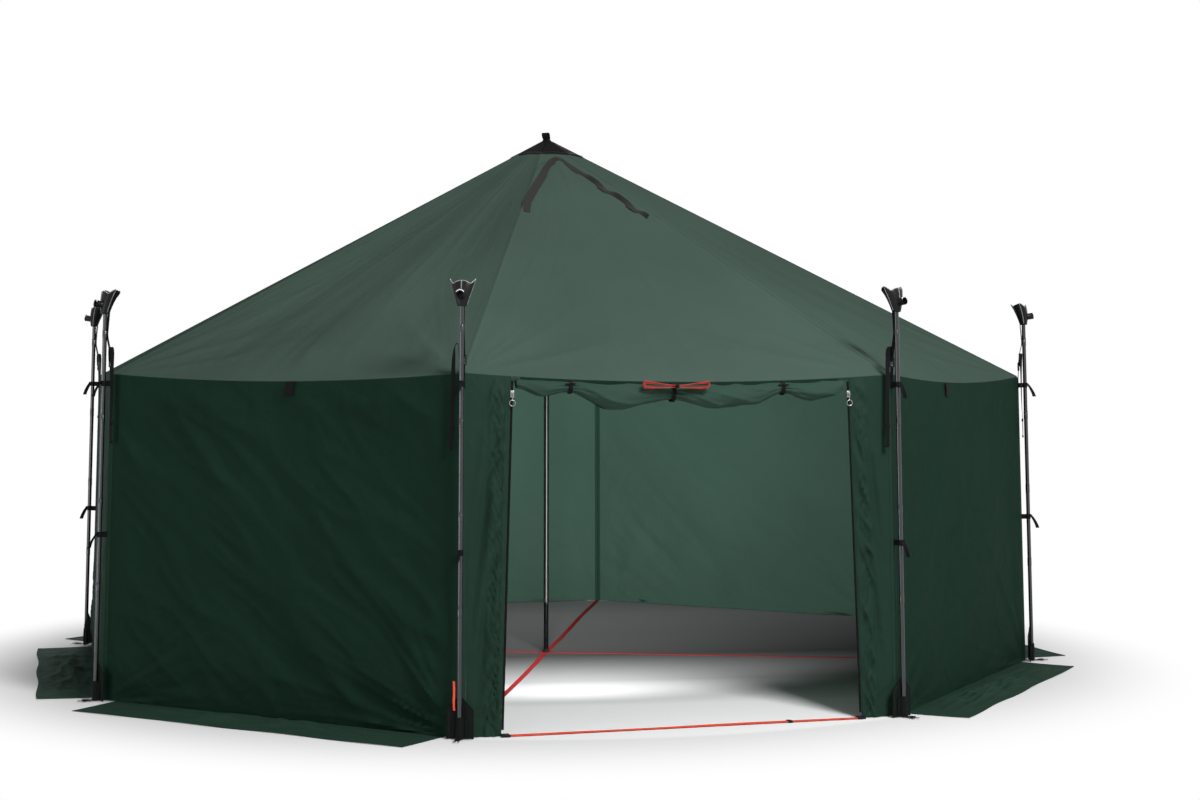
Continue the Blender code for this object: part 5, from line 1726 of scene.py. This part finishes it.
    def cup_edges(self) -> bpy.types.Object:
        """The beads down the fitting's two sides and along its rim, pale as a painted highlight on the black fitting's
        edges.
        """
        stand = Vector((0, PLAN.stand_off, 0))
        runs = [[self.cup_wall(u, 0.06 + 0.94 * step / 24) + stand for step in range(25)] for u in (0.0, 0.5)]
        runs.append([self.cup_wall(step / 96, 1.0) + stand for step in range(49)])
        runs.append([self.cup_wall(0.25, 0.52 + 0.48 * step / 24) + stand for step in range(25)])
        return joined("cup_edge_source", [tube("bead", run, 0.0015) for run in runs])

    def spout_ring(self) -> bpy.types.Object:
        """A painted highlight: the pale arc that lies over the top of the spout's mouth."""
        radius, wall, length = self.spout
        place = self.spout_frame() @ Matrix.Translation((0, 0, length - 0.0016))
        turns = [math.radians(-152 + 124 * step / 24) for step in range(25)]
        points = [place @ Vector((radius * math.cos(turn), radius * math.sin(turn), 0)) for turn in turns]
        return tube("spout_ring_source", points, 0.0022)

    def spout_frame(self) -> Matrix:
        """The spout's frame: its axis along Z, from the fitting's outer face."""
        face = self.cup_wall(0.25, self.spout_height / self.cup_height)
        root = Matrix.Translation(face + Vector((0, PLAN.stand_off - 0.0024, 0)))
        return root @ Matrix.Rotation(-self.spout_pitch, 4, "X")

    def spout_mouth(self) -> bpy.types.Object:
        """The spout on the fitting's outer face, with a rolled lip and a dark bore."""
        radius, wall, length = self.spout
        inner = radius - wall
        outline = [
            (0, 0.003), (inner, 0.003), (inner, length - 0.0016), (inner + 0.0006, length - 0.0004),
            (radius - wall / 2, length), (radius - 0.0004, length - 0.0004), (radius, length - 0.0016),
            (radius - 0.0006, length - 0.0034), (radius - 0.0008, 0.002), (radius - 0.0002, 0.0), (0, 0.0),
        ]
        return turned("cup_spout_source", outline, self.spout_frame(), 48, 35)

    def hoist(self) -> bpy.types.Object:
        """The strap from the fitting's back down to the buckle."""
        back = PLAN.stand_off - self.cup_neck
        knots = vectors(
            (0, back - 0.001, self.cup_base + 0.012), (0, back, self.cup_base - 0.004),
            (0, back + 0.0028, self.cup_base - 0.045), (0, PLAN.stand_off - 0.0103, self.cup_base - 0.080),
            (0, 0.0110, 1.300), (0, self.buckle_out + 0.0006, self.buckle_height + 0.019),
            (0, self.buckle_out, self.buckle_height + 0.010),
        )
        path = eased(knots, 8)
        turns = [Matrix.Rotation(0.05 * math.sin(i * 0.12), 3, "Z") @ RIGHT for i in range(len(path))]
        return ribbon("hoist_strap_source", path, turns, self.strap_width, 0.0017, 0.0003)

    def seam(self) -> bpy.types.Object:
        """The tape over the corner seam, bent along both wall panels."""
        half = math.pi / PLAN.sides
        top = (PLAN.eave - 0.0020) / math.cos(math.atan2(PLAN.lean, PLAN.eave))

        def place(u: float, v: float) -> Vector:
            """A point of the tape."""
            across = (2 * u - 1) * self.seam_reach
            bow = -abs(across) * math.tan(half) + 0.0020 * math.exp(-(across / 0.0035) ** 2)
            return Vector((across * math.cos(half), bow * math.cos(half) + 0.0004, 0.0014 + (top - 0.0014) * v))

        return cloth("corner_seam_source", 12, 60, place, (2 * self.seam_reach, PLAN.eave), 0.0016)

    def house(self, share: float, inset: float = 0.0) -> float:
        """The boot panel's top edge at a place across it, from 0 to 1."""
        return self.boot_peak - inset - abs(2 * share - 1) * (self.boot_peak - self.boot_shoulder)

    def boot(self) -> bpy.types.Object:
        """The boot: a peaked panel behind the pole, the pocket that the pole stands in and their bound edges."""

        def panel(u: float, v: float) -> Vector:
            """A point of the panel."""
            x = (2 * u - 1) * self.boot_half
            height = 0.0020 + (self.house(u) - 0.0020) * v
            cup = 0.0030 * (x / self.boot_half) ** 2 * (1 - 0.4 * v)
            crease = 0.0010 * math.sin(u * 21 + v * 5) * math.sin(math.pi * u) * math.sin(math.pi * v)
            return Vector((x, self.boot_front + 0.0012 - cup + crease, height))

        pieces = [cloth("boot_panel", 32, 36, panel, (2 * self.boot_half, self.boot_peak), 0.0020)]
        pocket_radius = self.pole_radius + 0.0018

        def pocket(u: float, v: float) -> Vector:
            """A point of the pocket round the pole's foot."""
            angle = 2 * math.pi * u
            swell = 0.0008 * math.sin(3 * angle + v * 4) * math.sin(math.pi * v) + 0.0006 * (1 - v)
            reach = pocket_radius + 0.0004 + max(0.0, swell)
            return Vector((reach * math.cos(angle), PLAN.stand_off + reach * math.sin(angle),
                           0.0016 + (self.boot_pocket - 0.0016) * v))

        pieces.append(cloth("boot_pocket", 40, 16, pocket, (0.064, self.boot_pocket), 0.0016, wrap=True))
        for side in (-1, 1):
            wing = vectors(
                (side * (pocket_radius + 0.0004), PLAN.stand_off - 0.001, 0.0),
                (side * (pocket_radius + 0.004), PLAN.stand_off - 0.0055, 0.0),
                (side * 0.024, self.boot_front + 0.0042, 0.0),
            )

            def flap(u: float, v: float, wing: list[Vector] = wing) -> Vector:
                """A point of the pocket's wing, sewn flat on the panel."""
                low = min(int(u * 2), 1)
                foot = wing[low].lerp(wing[low + 1], u * 2 - low)
                return foot + Vector((0, 0, 0.0022 + (self.boot_pocket - 0.002 - 0.010 * u) * v))

            pieces.append(cloth("boot_wing", 10, 12, flap, (0.02, self.boot_pocket), 0.0014))
        half, shoulder = self.boot_half, self.boot_shoulder
        edge = vectors(
            (-half, 0, 0.004), (-half, 0, shoulder), (0, 0, self.boot_peak), (half, 0, shoulder), (half, 0, 0.004),
        )
        trim = []
        for a, b in zip(edge, edge[1:]):
            trim += [a.lerp(b, step / 14) for step in range(14)]
        trim.append(edge[-1])
        for point in trim:
            share = (point.x / self.boot_half + 1) / 2
            point.y = panel(share, point.z / self.house(share)).y + 0.0011
            inward = Vector((-point.x * 0.06, 0, -0.0028))
            point += inward
        lie = laid(trim, Vector((0, 1, 0)))
        pieces.append(ribbon("boot_trim", trim, lie, 0.0070, 0.0012, 0.0))
        return joined("boot_source", pieces)

    def boot_stitches(self) -> bpy.types.Object:
        """The rows of thread round the boot panel and across its pocket."""
        runs = []
        inset = 0.0085
        half = self.boot_half - inset
        shoulder, peak = self.boot_shoulder - inset * 0.4, self.boot_peak - inset * 1.25
        for side in (-1, 1):
            runs.append(vectors((side * half, 0, 0.006), (side * half, 0, shoulder)))
            runs.append(vectors((side * half, 0, shoulder), (0, 0, peak)))
            runs.append(vectors((side * 0.022, 0, 0.006), (side * 0.022, 0, self.boot_pocket - 0.012)))
        stitches = []
        for start, end in runs:
            count = int((end - start).length / 0.0044)
            ahead = (end - start).normalized()
            for number in range(count):
                middle = start.lerp(end, (number + 0.5) / count)
                cup = 0.0030 * (middle.x / self.boot_half) ** 2
                raised = 0.0036 if abs(middle.x) < 0.024 else 0.0
                middle.y = self.boot_front + 0.0027 - cup + raised
                stitches.append((middle, ahead))
        return stitch_run("boot_stitches_source", stitches, 0.0030, 0.0005)

    def bindings(self) -> bpy.types.Object:
        """The two bands that lash the pole to the seam, each with its loose tail."""
        pieces = []
        reach = self.pole_radius + 0.0013
        for height in self.wraps:
            path = circuit(40, lambda turn: Vector((
                reach * math.cos(turn - QUARTER), PLAN.stand_off + reach * math.sin(turn - QUARTER), height,
            )))
            across = circuit(40, lambda turn: Vector((0, 0.04 * math.sin(turn - QUARTER), 1)))
            pieces.append(ribbon("wrap", path, across, self.wrap_band, 0.0015, 0.0002))
            for side in (-1, 1):
                web = vectors(
                    (side * 0.0036, PLAN.stand_off - reach + 0.001, height), (side * 0.0030, 0.0115, height),
                    (side * 0.0042, 0.0010, height),
                )
                web = eased(web, 5)
                pieces.append(ribbon("wrap_web", web, UP, self.wrap_band, 0.0014))
            front = PLAN.stand_off + reach + 0.0016
            knots = vectors(
                (-0.006, front - 0.0022, height + 0.008), (0, front + 0.0002, height + 0.003),
                (0.0012, front + 0.0110, height - 0.013), (0.0022, front + 0.0215, height - 0.034),
                (0.0030, front + 0.0262, height - 0.049),
            )
            path = eased(knots, 7)
            across = [Matrix.Rotation(-0.5 - 0.03 * i, 3, "Z") @ RIGHT for i in range(len(path))]
            pieces.append(ribbon("wrap_tail", path, across, self.wrap_tail, 0.0013, 0.0006))
        return joined("pole_bindings_source", pieces)

    def buckle_frame(self) -> bpy.types.Object:
        """The ladder-lock buckle: two cheeks, three bars and the neck webbing's bar."""
        width, depth, height = self.buckle
        centre = Vector((0, self.buckle_out, self.buckle_height))
        pieces = blocks(Matrix.Translation(centre), [
            ((0.0032, depth, height), (side * (width / 2 - 0.0016), 0, 0), 0.0011, 3) for side in (-1, 1)
        ])
        for rise, thick in ((-0.0150, 0.0038), (-0.0030, 0.0030), (0.0060, 0.0030), (0.0152, 0.0034)):
            bar = Matrix.Translation(centre + Vector((0, 0.0002, rise))) @ Matrix.Rotation(0.3, 4, "X")
            pieces.append(block("bar", (width - 0.004, depth * 0.66, thick), bar, 0.0009, 3))
        lip = Matrix.Translation(centre + Vector((0, 0.0016, 0.0175))) @ Matrix.Rotation(-0.55, 4, "X")
        pieces.append(block("lip", (width * 0.78, 0.0020, 0.0070), lip, 0.0008, 3))
        return joined("corner_buckle_source", pieces)

    def neck(self) -> bpy.types.Object:
        """The webbing that carries the buckle, from its sewn root at the eave."""
        neck = vectors(
            (0, 0.0012, 1.150), (0, 0.0022, 1.190), (0, self.buckle_out - 0.0012, 1.212),
            (0, self.buckle_out + 0.0006, self.buckle_height - 0.012),
        )
        path = eased(neck, 6)
        pieces = [ribbon("neck", path, RIGHT, 0.0138, 0.0016, 0.0002)]
        root = block("root", (0.0140, 0.0020, 0.034), Matrix.Translation((0, 0.0022, 1.170)), 0.0006)
        return joined("buckle_neck_source", [*pieces, root])

    def tail(self, side: Side) -> bpy.types.Object:
        """The webbing that climbs out of the buckle, arches over and hangs beside the pole through its keeper.

        Args:
            side: The side of the pole that it hangs on, seen from outside.

        Returns:
            The webbing with its folded end and its keeper.
        """
        lean, reach = -side.value, -side.value * self.tail_reach
        start = lean * (self.buckle[0] / 2 - 0.002)
        crown = self.buckle_height + self.tail_arch
        y = self.tail_out
        knots = vectors(
            (start, y - 0.003, self.buckle_height + 0.002), (start + lean * 0.0022, y, crown - 0.022),
            (start + lean * 0.0050, y + 0.0006, crown - 0.004), (reach * 0.68, y, crown),
            (reach * 0.93, y, crown - 0.017), (reach * 1.02, y, crown - 0.070), (reach * 1.10, y - 0.001, 1.130),
            (reach * 1.17, y, 1.040), (reach * 1.22, y + 0.0008, 0.985),
            (reach * 1.25, y, self.tail_low + 0.001),
        )
        path = eased(knots, 9)
        across = []
        for i in range(len(path)):
            face = math.radians(78) * smooth_step((i / len(path) - 0.30) / 0.30) + 0.20 * math.sin(i * 0.11)
            across.append(Vector((-lean * math.sin(face), math.cos(face), 0)))
        pieces = [ribbon("tail", path, across, self.strap_width, 0.0016, 0.0003)]
        turn = Matrix.Rotation(lean * math.radians(78), 4, "Z")
        fold = Matrix.Translation((reach * 1.25, y, self.tail_low + 0.0052)) @ turn
        pieces.append(block("fold", (0.0044, self.strap_width + 0.0004, 0.010), fold, 0.0012))

        def keeper(angle: float) -> Vector:
            """A point of the loop that keeps the webbing to the pole."""
            ahead, side_way = squared(angle, 0.6)
            corner = Vector((0.0026 * ahead, (self.strap_width / 2 + 0.0012) * side_way, 0))
            return Vector((reach * 1.18, y, self.keeper_height)) + turn @ corner

        pieces.append(ribbon("keeper", circuit(28, keeper), UP, 0.0115, 0.0013))
        return joined(f"buckle_tail_{side.label}_source", pieces)

    def peg_strap_band(self) -> bpy.types.Object:
        """The strap from the boot's foot out to the pegging ring, doubled back and sewn."""
        start = PLAN.stand_off + self.pole_radius + 0.0010
        width, end = self.peg_strap
        knots = vectors(
            (0, start, 0.0062), (0, start + 0.004, 0.0034), (0, start + 0.014, 0.0028), (0, end - 0.012, 0.0030),
            (0, end - 0.003, 0.0026),
        )
        low = eased(knots, 6)
        pieces = [ribbon("low", low, RIGHT, width, 0.0016)]
        ring_y = self.peg_strap[1] - 0.0012
        loop = [Vector((0, ring_y + 0.0026 * math.cos(a), 0.0042 + 0.0026 * math.sin(a)))
                for a in (math.pi * (step / 10 - 0.5) for step in range(11))]
        loop = vectors((0, end - 0.014, 0.0016)) + loop + vectors((0, end - 0.018, 0.0062), (0, end - 0.026, 0.0050))
        pieces.append(ribbon("fold", loop, RIGHT, width * 0.96, 0.0012))
        return joined("peg_strap_source", pieces)

    def ring_piece(self) -> bpy.types.Object:
        """The pegging ring."""
        radius, wire = self.peg_ring
        centre = Matrix.Translation((0, self.peg_strap[1] + radius - 0.001, 0.0031))
        return ring("peg_ring_source", radius, wire, centre, 40, 12)

    def red_tab(self) -> None:
        """The red ribbon tab that stands beside the front left boot."""
        place = PLAN.corner_frame(0)
        knots = vectors(
            (0.0180, 0.0270, 0.094), (0.0190, 0.0300, 0.122), (0.0180, 0.0290, 0.152), (0.0195, 0.0265, 0.190),
        )
        path = [place @ point for point in eased(knots, 8)]
        side = place.to_3x3() @ Vector((1, 0.2, 0))
        self.dress(ribbon("red_tab", path, side, 0.007, 0.0010, 0.0003), "red_webbing")


@dataclass
class CentrePole(Assembly):
    """The centre pole's upper tube, its leg with the row of holes and the leg's snap button."""

    tube_radius: float = 0.0120
    tube_bore: float = 0.0105
    tube_bottom: float = 0.2185
    ferrule_top: float = 1.210
    leg_radius: float = 0.0102
    leg_bore: float = 0.0087
    leg_top: float = 0.560
    foot_radius: float = 0.0130
    hole_top: float = 0.2130
    hole_pitch: float = 0.077
    holes: int = 3
    hole_radius: float = 0.0043
    button_radius: float = 0.0040
    button_head: float = 0.0136

    def build(self) -> None:
        """Make the pole's three pieces."""
        self.upper()
        self.leg()
        self.button()

    def upper(self) -> None:
        """The upper tube, with its swaged joint and rolled bottom edge."""
        r, top = self.tube_radius, PLAN.apex + 0.0010
        joint = self.ferrule_top
        outline = [
            (0, top), (r - 0.0022, top), (r - 0.0006, top - 0.0006), (r, top - 0.0022), (r, joint + 0.0014),
            (r + 0.0010, joint), (r + 0.0010, joint - 0.006), (r + 0.0005, joint - 0.0068),
            (r + 0.0005, joint - 0.0080), (r + 0.0010, joint - 0.0088), (r + 0.0010, joint - 0.0395),
            (r, joint - 0.041), (r, self.tube_bottom + 0.0006), (r - 0.0004, self.tube_bottom),
            (self.tube_bore + 0.0002, self.tube_bottom), (self.tube_bore, self.tube_bottom + 0.0006),
            (self.tube_bore, 0.640), (0, 0.640),
        ]
        self.dress(turned("centre_pole_upper_tube", outline, ORIGIN, 64, 30), "aluminium", nodes=("centre_pole_upper",))

    def leg(self) -> None:
        """The leg tube with its holes and its rubber foot."""
        r, bore = self.leg_radius, self.leg_bore
        outline = [(bore, self.leg_top), (r - 0.0003, self.leg_top), (r, self.leg_top - 0.0006), (r, 0.0142),
                   (bore, 0.0142), (bore, self.leg_top)]
        piece = turned("centre_pole_leg_tube", outline, ORIGIN, 64, 30)
        for number in range(self.holes):
            deselect()
            bpy.ops.mesh.primitive_cylinder_add(vertices=32, radius=self.hole_radius, depth=0.02)
            drill = bpy.context.object
            hole = Matrix.Translation((0, -0.01, self.hole_top - number * self.hole_pitch))
            drill.data.transform(hole @ FORWARD)
            cut(piece, drill)
        self.dress(piece, "dark_aluminium", "aluminium_dark", "centre_pole_leg", ("centre_pole_leg",))
        f = self.foot_radius
        foot = [(0, 0), (f - 0.0022, 0), (f - 0.0004, 0.0006), (f, 0.0022), (f - 0.0003, 0.0055), (f, 0.0085),
                (f, 0.0120), (f - 0.0010, 0.0140), (0.0098, 0.0146), (0, 0.0146)]
        self.dress(turned("centre_pole_foot_cap", foot, ORIGIN, 64, 30), "black_plastic", body="centre_pole_leg")

    def button(self) -> None:
        """The domed snap button, with its flange inside the leg."""
        r, head = self.button_radius, self.button_head
        flat = math.sqrt(self.leg_bore ** 2 - 0.0058 ** 2) - 0.0005
        outline = [(0, head), (r * 0.35, head - 0.0001), (r * 0.65, head - 0.0004), (r * 0.88, head - 0.0010),
                   (r, head - 0.0020), (r, flat), (0.0056, flat), (0.0058, flat - 0.0002), (0.0058, flat - 0.0010),
                   (0, flat - 0.0010)]
        place = Matrix.Translation((0, 0, self.hole_top)) @ FORWARD
        piece = turned("centre_pole_snap_button", outline, place, 40, 40)
        self.dress(piece, "steel", body="centre_pole_button", nodes=("centre_pole_button",))


@dataclass
class FloorWebbing(Assembly):
    """The red webbing cross on the floor and the strap across the door sill."""

    width: float = 0.020
    thickness: float = 0.0017
    hub_radius: float = 0.034
    corners: tuple[int, ...] = (0, 2, 4, 6)
    run: tuple[float, float] = (0.026, 2.038)
    sway: float = 0.0045
    sill_half: float = 0.636
    sill_buckle: Triple = (0.030, 0.026, 0.0090)
    slider_x: float = 0.370

    def build(self) -> None:
        """Make the cross, the sill strap and its hardware."""
        self.cross()
        self.sill()

    def cross(self) -> None:
        """Four straps from corner seams to the patch round the centre pole's foot."""
        pieces = []
        first, last = self.run
        for corner in self.corners:
            angle = PLAN.angle(corner)
            ahead = Vector((math.cos(angle), math.sin(angle), 0))
            side = Vector((-ahead.y, ahead.x, 0))
            path, across = [], []
            for step in range(81):
                run = first + (last - first) * step / 80
                sway = self.sway * math.sin(run * 2.6 + corner) * math.sin(math.pi * step / 80)
                path.append(ahead * run + side * sway + UP * 0.00105)
                across.append(side)
            pieces.append(ribbon(f"floor_strap_{PLAN.corners[corner]}", path, across, self.width, self.thickness))
        hub = [(0.0142, 0.0003), (self.hub_radius - 0.001, 0.0003), (self.hub_radius, 0.0008),
               (self.hub_radius, 0.0016), (self.hub_radius - 0.001, 0.0021), (0.0142, 0.0021), (0.0142, 0.0003)]
        pieces.append(turned("floor_hub_patch", hub, ORIGIN, 64, 30))
        # The cross takes the darker red webbing: painted shade for the tent's shade over the floor.
        for piece in pieces:
            nodes = ("floor_straps",) if piece is pieces[0] else ()
            self.dress(piece, "floor_webbing", "red_webbing", nodes=nodes)

    def sill(self) -> None:
        """The strap across the doorway's sill, its end buckles and its slider."""
        y = PLAN.door(0, 0).y - 0.0010 - PLAN.gap - self.sill_buckle[1] / 2
        path, across = [], []
        for step in range(121):
            x = -self.sill_half + 2 * self.sill_half * step / 120
            rise = 0.0004 * math.sin(x * 9) * math.cos(x * 2.2) * (0 if abs(x - self.slider_x) < 0.05 else 1)
            path.append(Vector((x, y + 0.0008 * math.sin(x * 5), 0.0040 + rise)))
            across.append(Vector((0, 1, 0.05 * math.sin(x * 7))))
        strap = ribbon("sill_strap_band", path, across, self.width, self.thickness)
        self.dress(strap, "red_webbing", nodes=("sill_strap",))
        length, deep, high = self.sill_buckle
        for side in Side:
            x = side.value * self.sill_half
            pieces = blocks(Matrix.Translation((x, y, high / 2)), [
                ((length, 0.0026, high), (0, rim * (deep / 2 - 0.0013), 0), 0.0011, 3) for rim in (-1, 1)
            ])
            for step, thick in ((-0.0125, 0.005), (-0.0015, 0.004), (0.0125, 0.005)):
                place = Matrix.Translation((x + step * side.value, y, high / 2 + 0.0008)) @ Matrix.Rotation(0.2, 4, "Y")
                pieces.append(block("bar", (thick, deep - 0.003, 0.0050), place, 0.0012, 3))
            self.dress(joined(f"sill_buckle_{side.label}", pieces), "black_plastic")
        self.slider(y)

    def slider(self, y: float) -> None:
        """The slider that runs on the sill strap."""
        middle = Vector((self.slider_x, y, 0.0040))
        inner, wall = self.width / 2 + 0.0003, 0.0025
        pieces = blocks(Matrix.Translation(middle), [
            *(((0.016, wall, 0.0073), (0, rim * (inner + wall / 2), 0), 0.0008, 3) for rim in (-1, 1)),
            *(((0.016, 2 * inner + 0.002, 0.0021), (0, 0, rim * 0.00255), 0.0007, 3) for rim in (-1, 1)),
        ])
        self.dress(joined("sill_slider_body", pieces), "black_plastic", body="sill_slider", nodes=("sill_slider",))


@dataclass(frozen=True)
class Lamp:
    """One soft light: where it hangs, what it faces, its side, its power in watts and its beam's angle."""

    name: str
    place: Triple
    target: Triple
    size: float
    power: float
    spread: float = math.pi
    reflected: bool = True

    def hang(self) -> None:
        """Hang the light, out of the camera's sight."""
        lamp = bpy.data.lights.new(self.name, "AREA")
        lamp.size, lamp.energy, lamp.spread = self.size, self.power, self.spread
        item = bpy.data.objects.new(self.name, lamp)
        item.visible_camera, item.visible_glossy = False, self.reflected
        bpy.context.scene.collection.objects.link(item)
        item.location = self.place
        item.rotation_euler = (Vector(self.target) - Vector(self.place)).to_track_quat("-Z", "Y").to_euler()


@dataclass
class Studio:
    """The white floor, the soft lights and the photograph's camera."""

    position: Triple = (-2.1014, -8.0368, 1.1565)
    yaw: float = math.radians(16.2603)
    pitch: float = math.radians(-0.4029)
    roll: float = math.radians(0.0915)
    lens: float = 57.332
    sensor: float = 36.0
    surround: float = 0.24
    floor_size: float = 60.0
    floor_grey: float = 0.80
    melt: tuple[float, float] = (1.95, 2.75)
    under_tent: tuple[float, float] = (2.09, 2.03)
    inward: Triple = (0.12, 1.0, 0.0)
    depth: tuple[float, float] = (-1.90, 1.35)
    # Painted shade: the floor's grey inside the tent, nearly white at the doorway and darkest past the middle, along
    # the inward direction.
    dusk: tuple[tuple[float, float], ...] = (
        (0.0, 0.94), (0.15, 0.94), (0.33, 0.26), (0.55, 0.055), (0.76, 0.12), (1.0, 0.22),
    )
    lamps: tuple[Lamp, ...] = (
        Lamp("key_light", (1.5, -6.2, 5.2), (0, -0.6, 0.9), 1.9, 455),
        Lamp("left_light", (-6.2, -3.0, 0.7), (0, -0.5, 0.5), 2.4, 80),
        Lamp("right_light", (6.2, -3.0, 0.7), (0, -0.5, 0.5), 2.4, 6),
        Lamp("back_light", (0.5, 6.2, 3.0), (0, 0.5, 0.9), 4.0, 240),
        Lamp("inside_light", (-0.25, -1.72, 0.78), (0.15, 1.9, 1.10), 0.6, 78, math.radians(115), False),
    )

    def build(self) -> None:
        """Set up the whole studio."""
        self.view()
        self.world()
        self.floor()
        for lamp in self.lamps:
            lamp.hang()

    def view(self) -> None:
        """Place the camera where the photograph was taken from."""
        scene = bpy.context.scene
        scene.view_settings.view_transform = "Standard"
        camera = bpy.data.objects.new("photo_camera", bpy.data.cameras.new("photo_camera"))
        scene.collection.objects.link(camera)
        camera.data.lens, camera.data.sensor_width, camera.data.clip_end = self.lens, self.sensor, 200.0
        level = math.cos(self.pitch)
        ahead = Vector((math.sin(self.yaw) * level, math.cos(self.yaw) * level, math.sin(self.pitch)))
        right = Vector((math.cos(self.yaw), -math.sin(self.yaw), 0))
        up = right.cross(ahead)
        tilted = right * math.cos(self.roll) + up * math.sin(self.roll)
        upright = up * math.cos(self.roll) - right * math.sin(self.roll)
        rotation = Matrix((tilted, upright, -ahead)).transposed().to_4x4()
        camera.matrix_world = Matrix.Translation(self.position) @ rotation
        scene.camera = camera

    def world(self) -> None:
        """A white surround for the camera and for reflections, and a plain light level for the rest."""
        world = bpy.data.worlds.new("studio")
        bpy.context.scene.world = world
        graph = Graph(world)
        graph.tree.nodes.clear()
        plain, white = (
            graph.add("Background", {"Color": (1, 1, 1, 1), "Strength": level}).outputs[0]
            for level in (self.surround, 1.0)
        )
        mix = graph.add("MixShader", {"Fac": graph.seen_directly(), 1: plain, 2: white})
        graph.add("OutputWorld", {"Surface": mix.outputs[0]})

    def floor(self) -> None:
        """A white floor with the tent's shadow, painted shade under the tent, and a melt into the white surround."""
        deselect()
        bpy.ops.mesh.primitive_plane_add(size=self.floor_size, location=(0, 0, -0.0004))
        floor = bpy.context.object
        floor.name = "studio_floor"
        graph = Graph(bpy.data.materials.new("studio_floor"))
        where = graph.add("TexCoord").outputs["Object"]
        reach = graph.add("VectorMath", {0: where}, operation="LENGTH").outputs["Value"]
        inward = graph.add("VectorMath", {0: where, 1: self.inward}, operation="DOT_PRODUCT").outputs["Value"]
        # Painted shade: under the tent the floor takes a grey that darkens from the doorway inwards.
        dusk = graph.ramp(graph.remap(inward, self.depth), [(place, (grey,) * 3) for place, grey in self.dusk])
        colour = graph.add("Mix", data_type="RGBA")
        graph.feed(colour, {
            "Factor": graph.remap(reach, self.under_tent, kind="SMOOTHSTEP"),
            6: (*(self.floor_grey,) * 3, 1), 7: dusk,
        })
        shader = graph.surface({"Roughness": 0.95, "Specular IOR Level": 0.0, "Base Color": colour.outputs[2]})
        melted = graph.reckon("MULTIPLY", graph.remap(reach, self.melt, kind="SMOOTHSTEP"), graph.seen_directly())
        glow = graph.add("Emission", {"Strength": 1.0})
        mix = graph.add("MixShader", {"Fac": melted, 1: shader.outputs[0], 2: glow.outputs[0]})
        graph.feed(graph.tree.nodes["Material Output"], {"Surface": mix.outputs[0]})
        floor.data.materials.append(graph.owner)


def main() -> None:
    """Build the studio and every sub-assembly."""
    logging.basicConfig(level=logging.INFO, format="%(name)s: %(message)s")
    Studio().build()
    finish = {item.name: item.build() for item in FINISHES}
    for kind in (Roof, Walls, Doorway, Corner, CentrePole, FloorWebbing):
        log.info("building %s", kind.__name__)
        kind(finish).build()


if __name__ == "__main__":
    main()
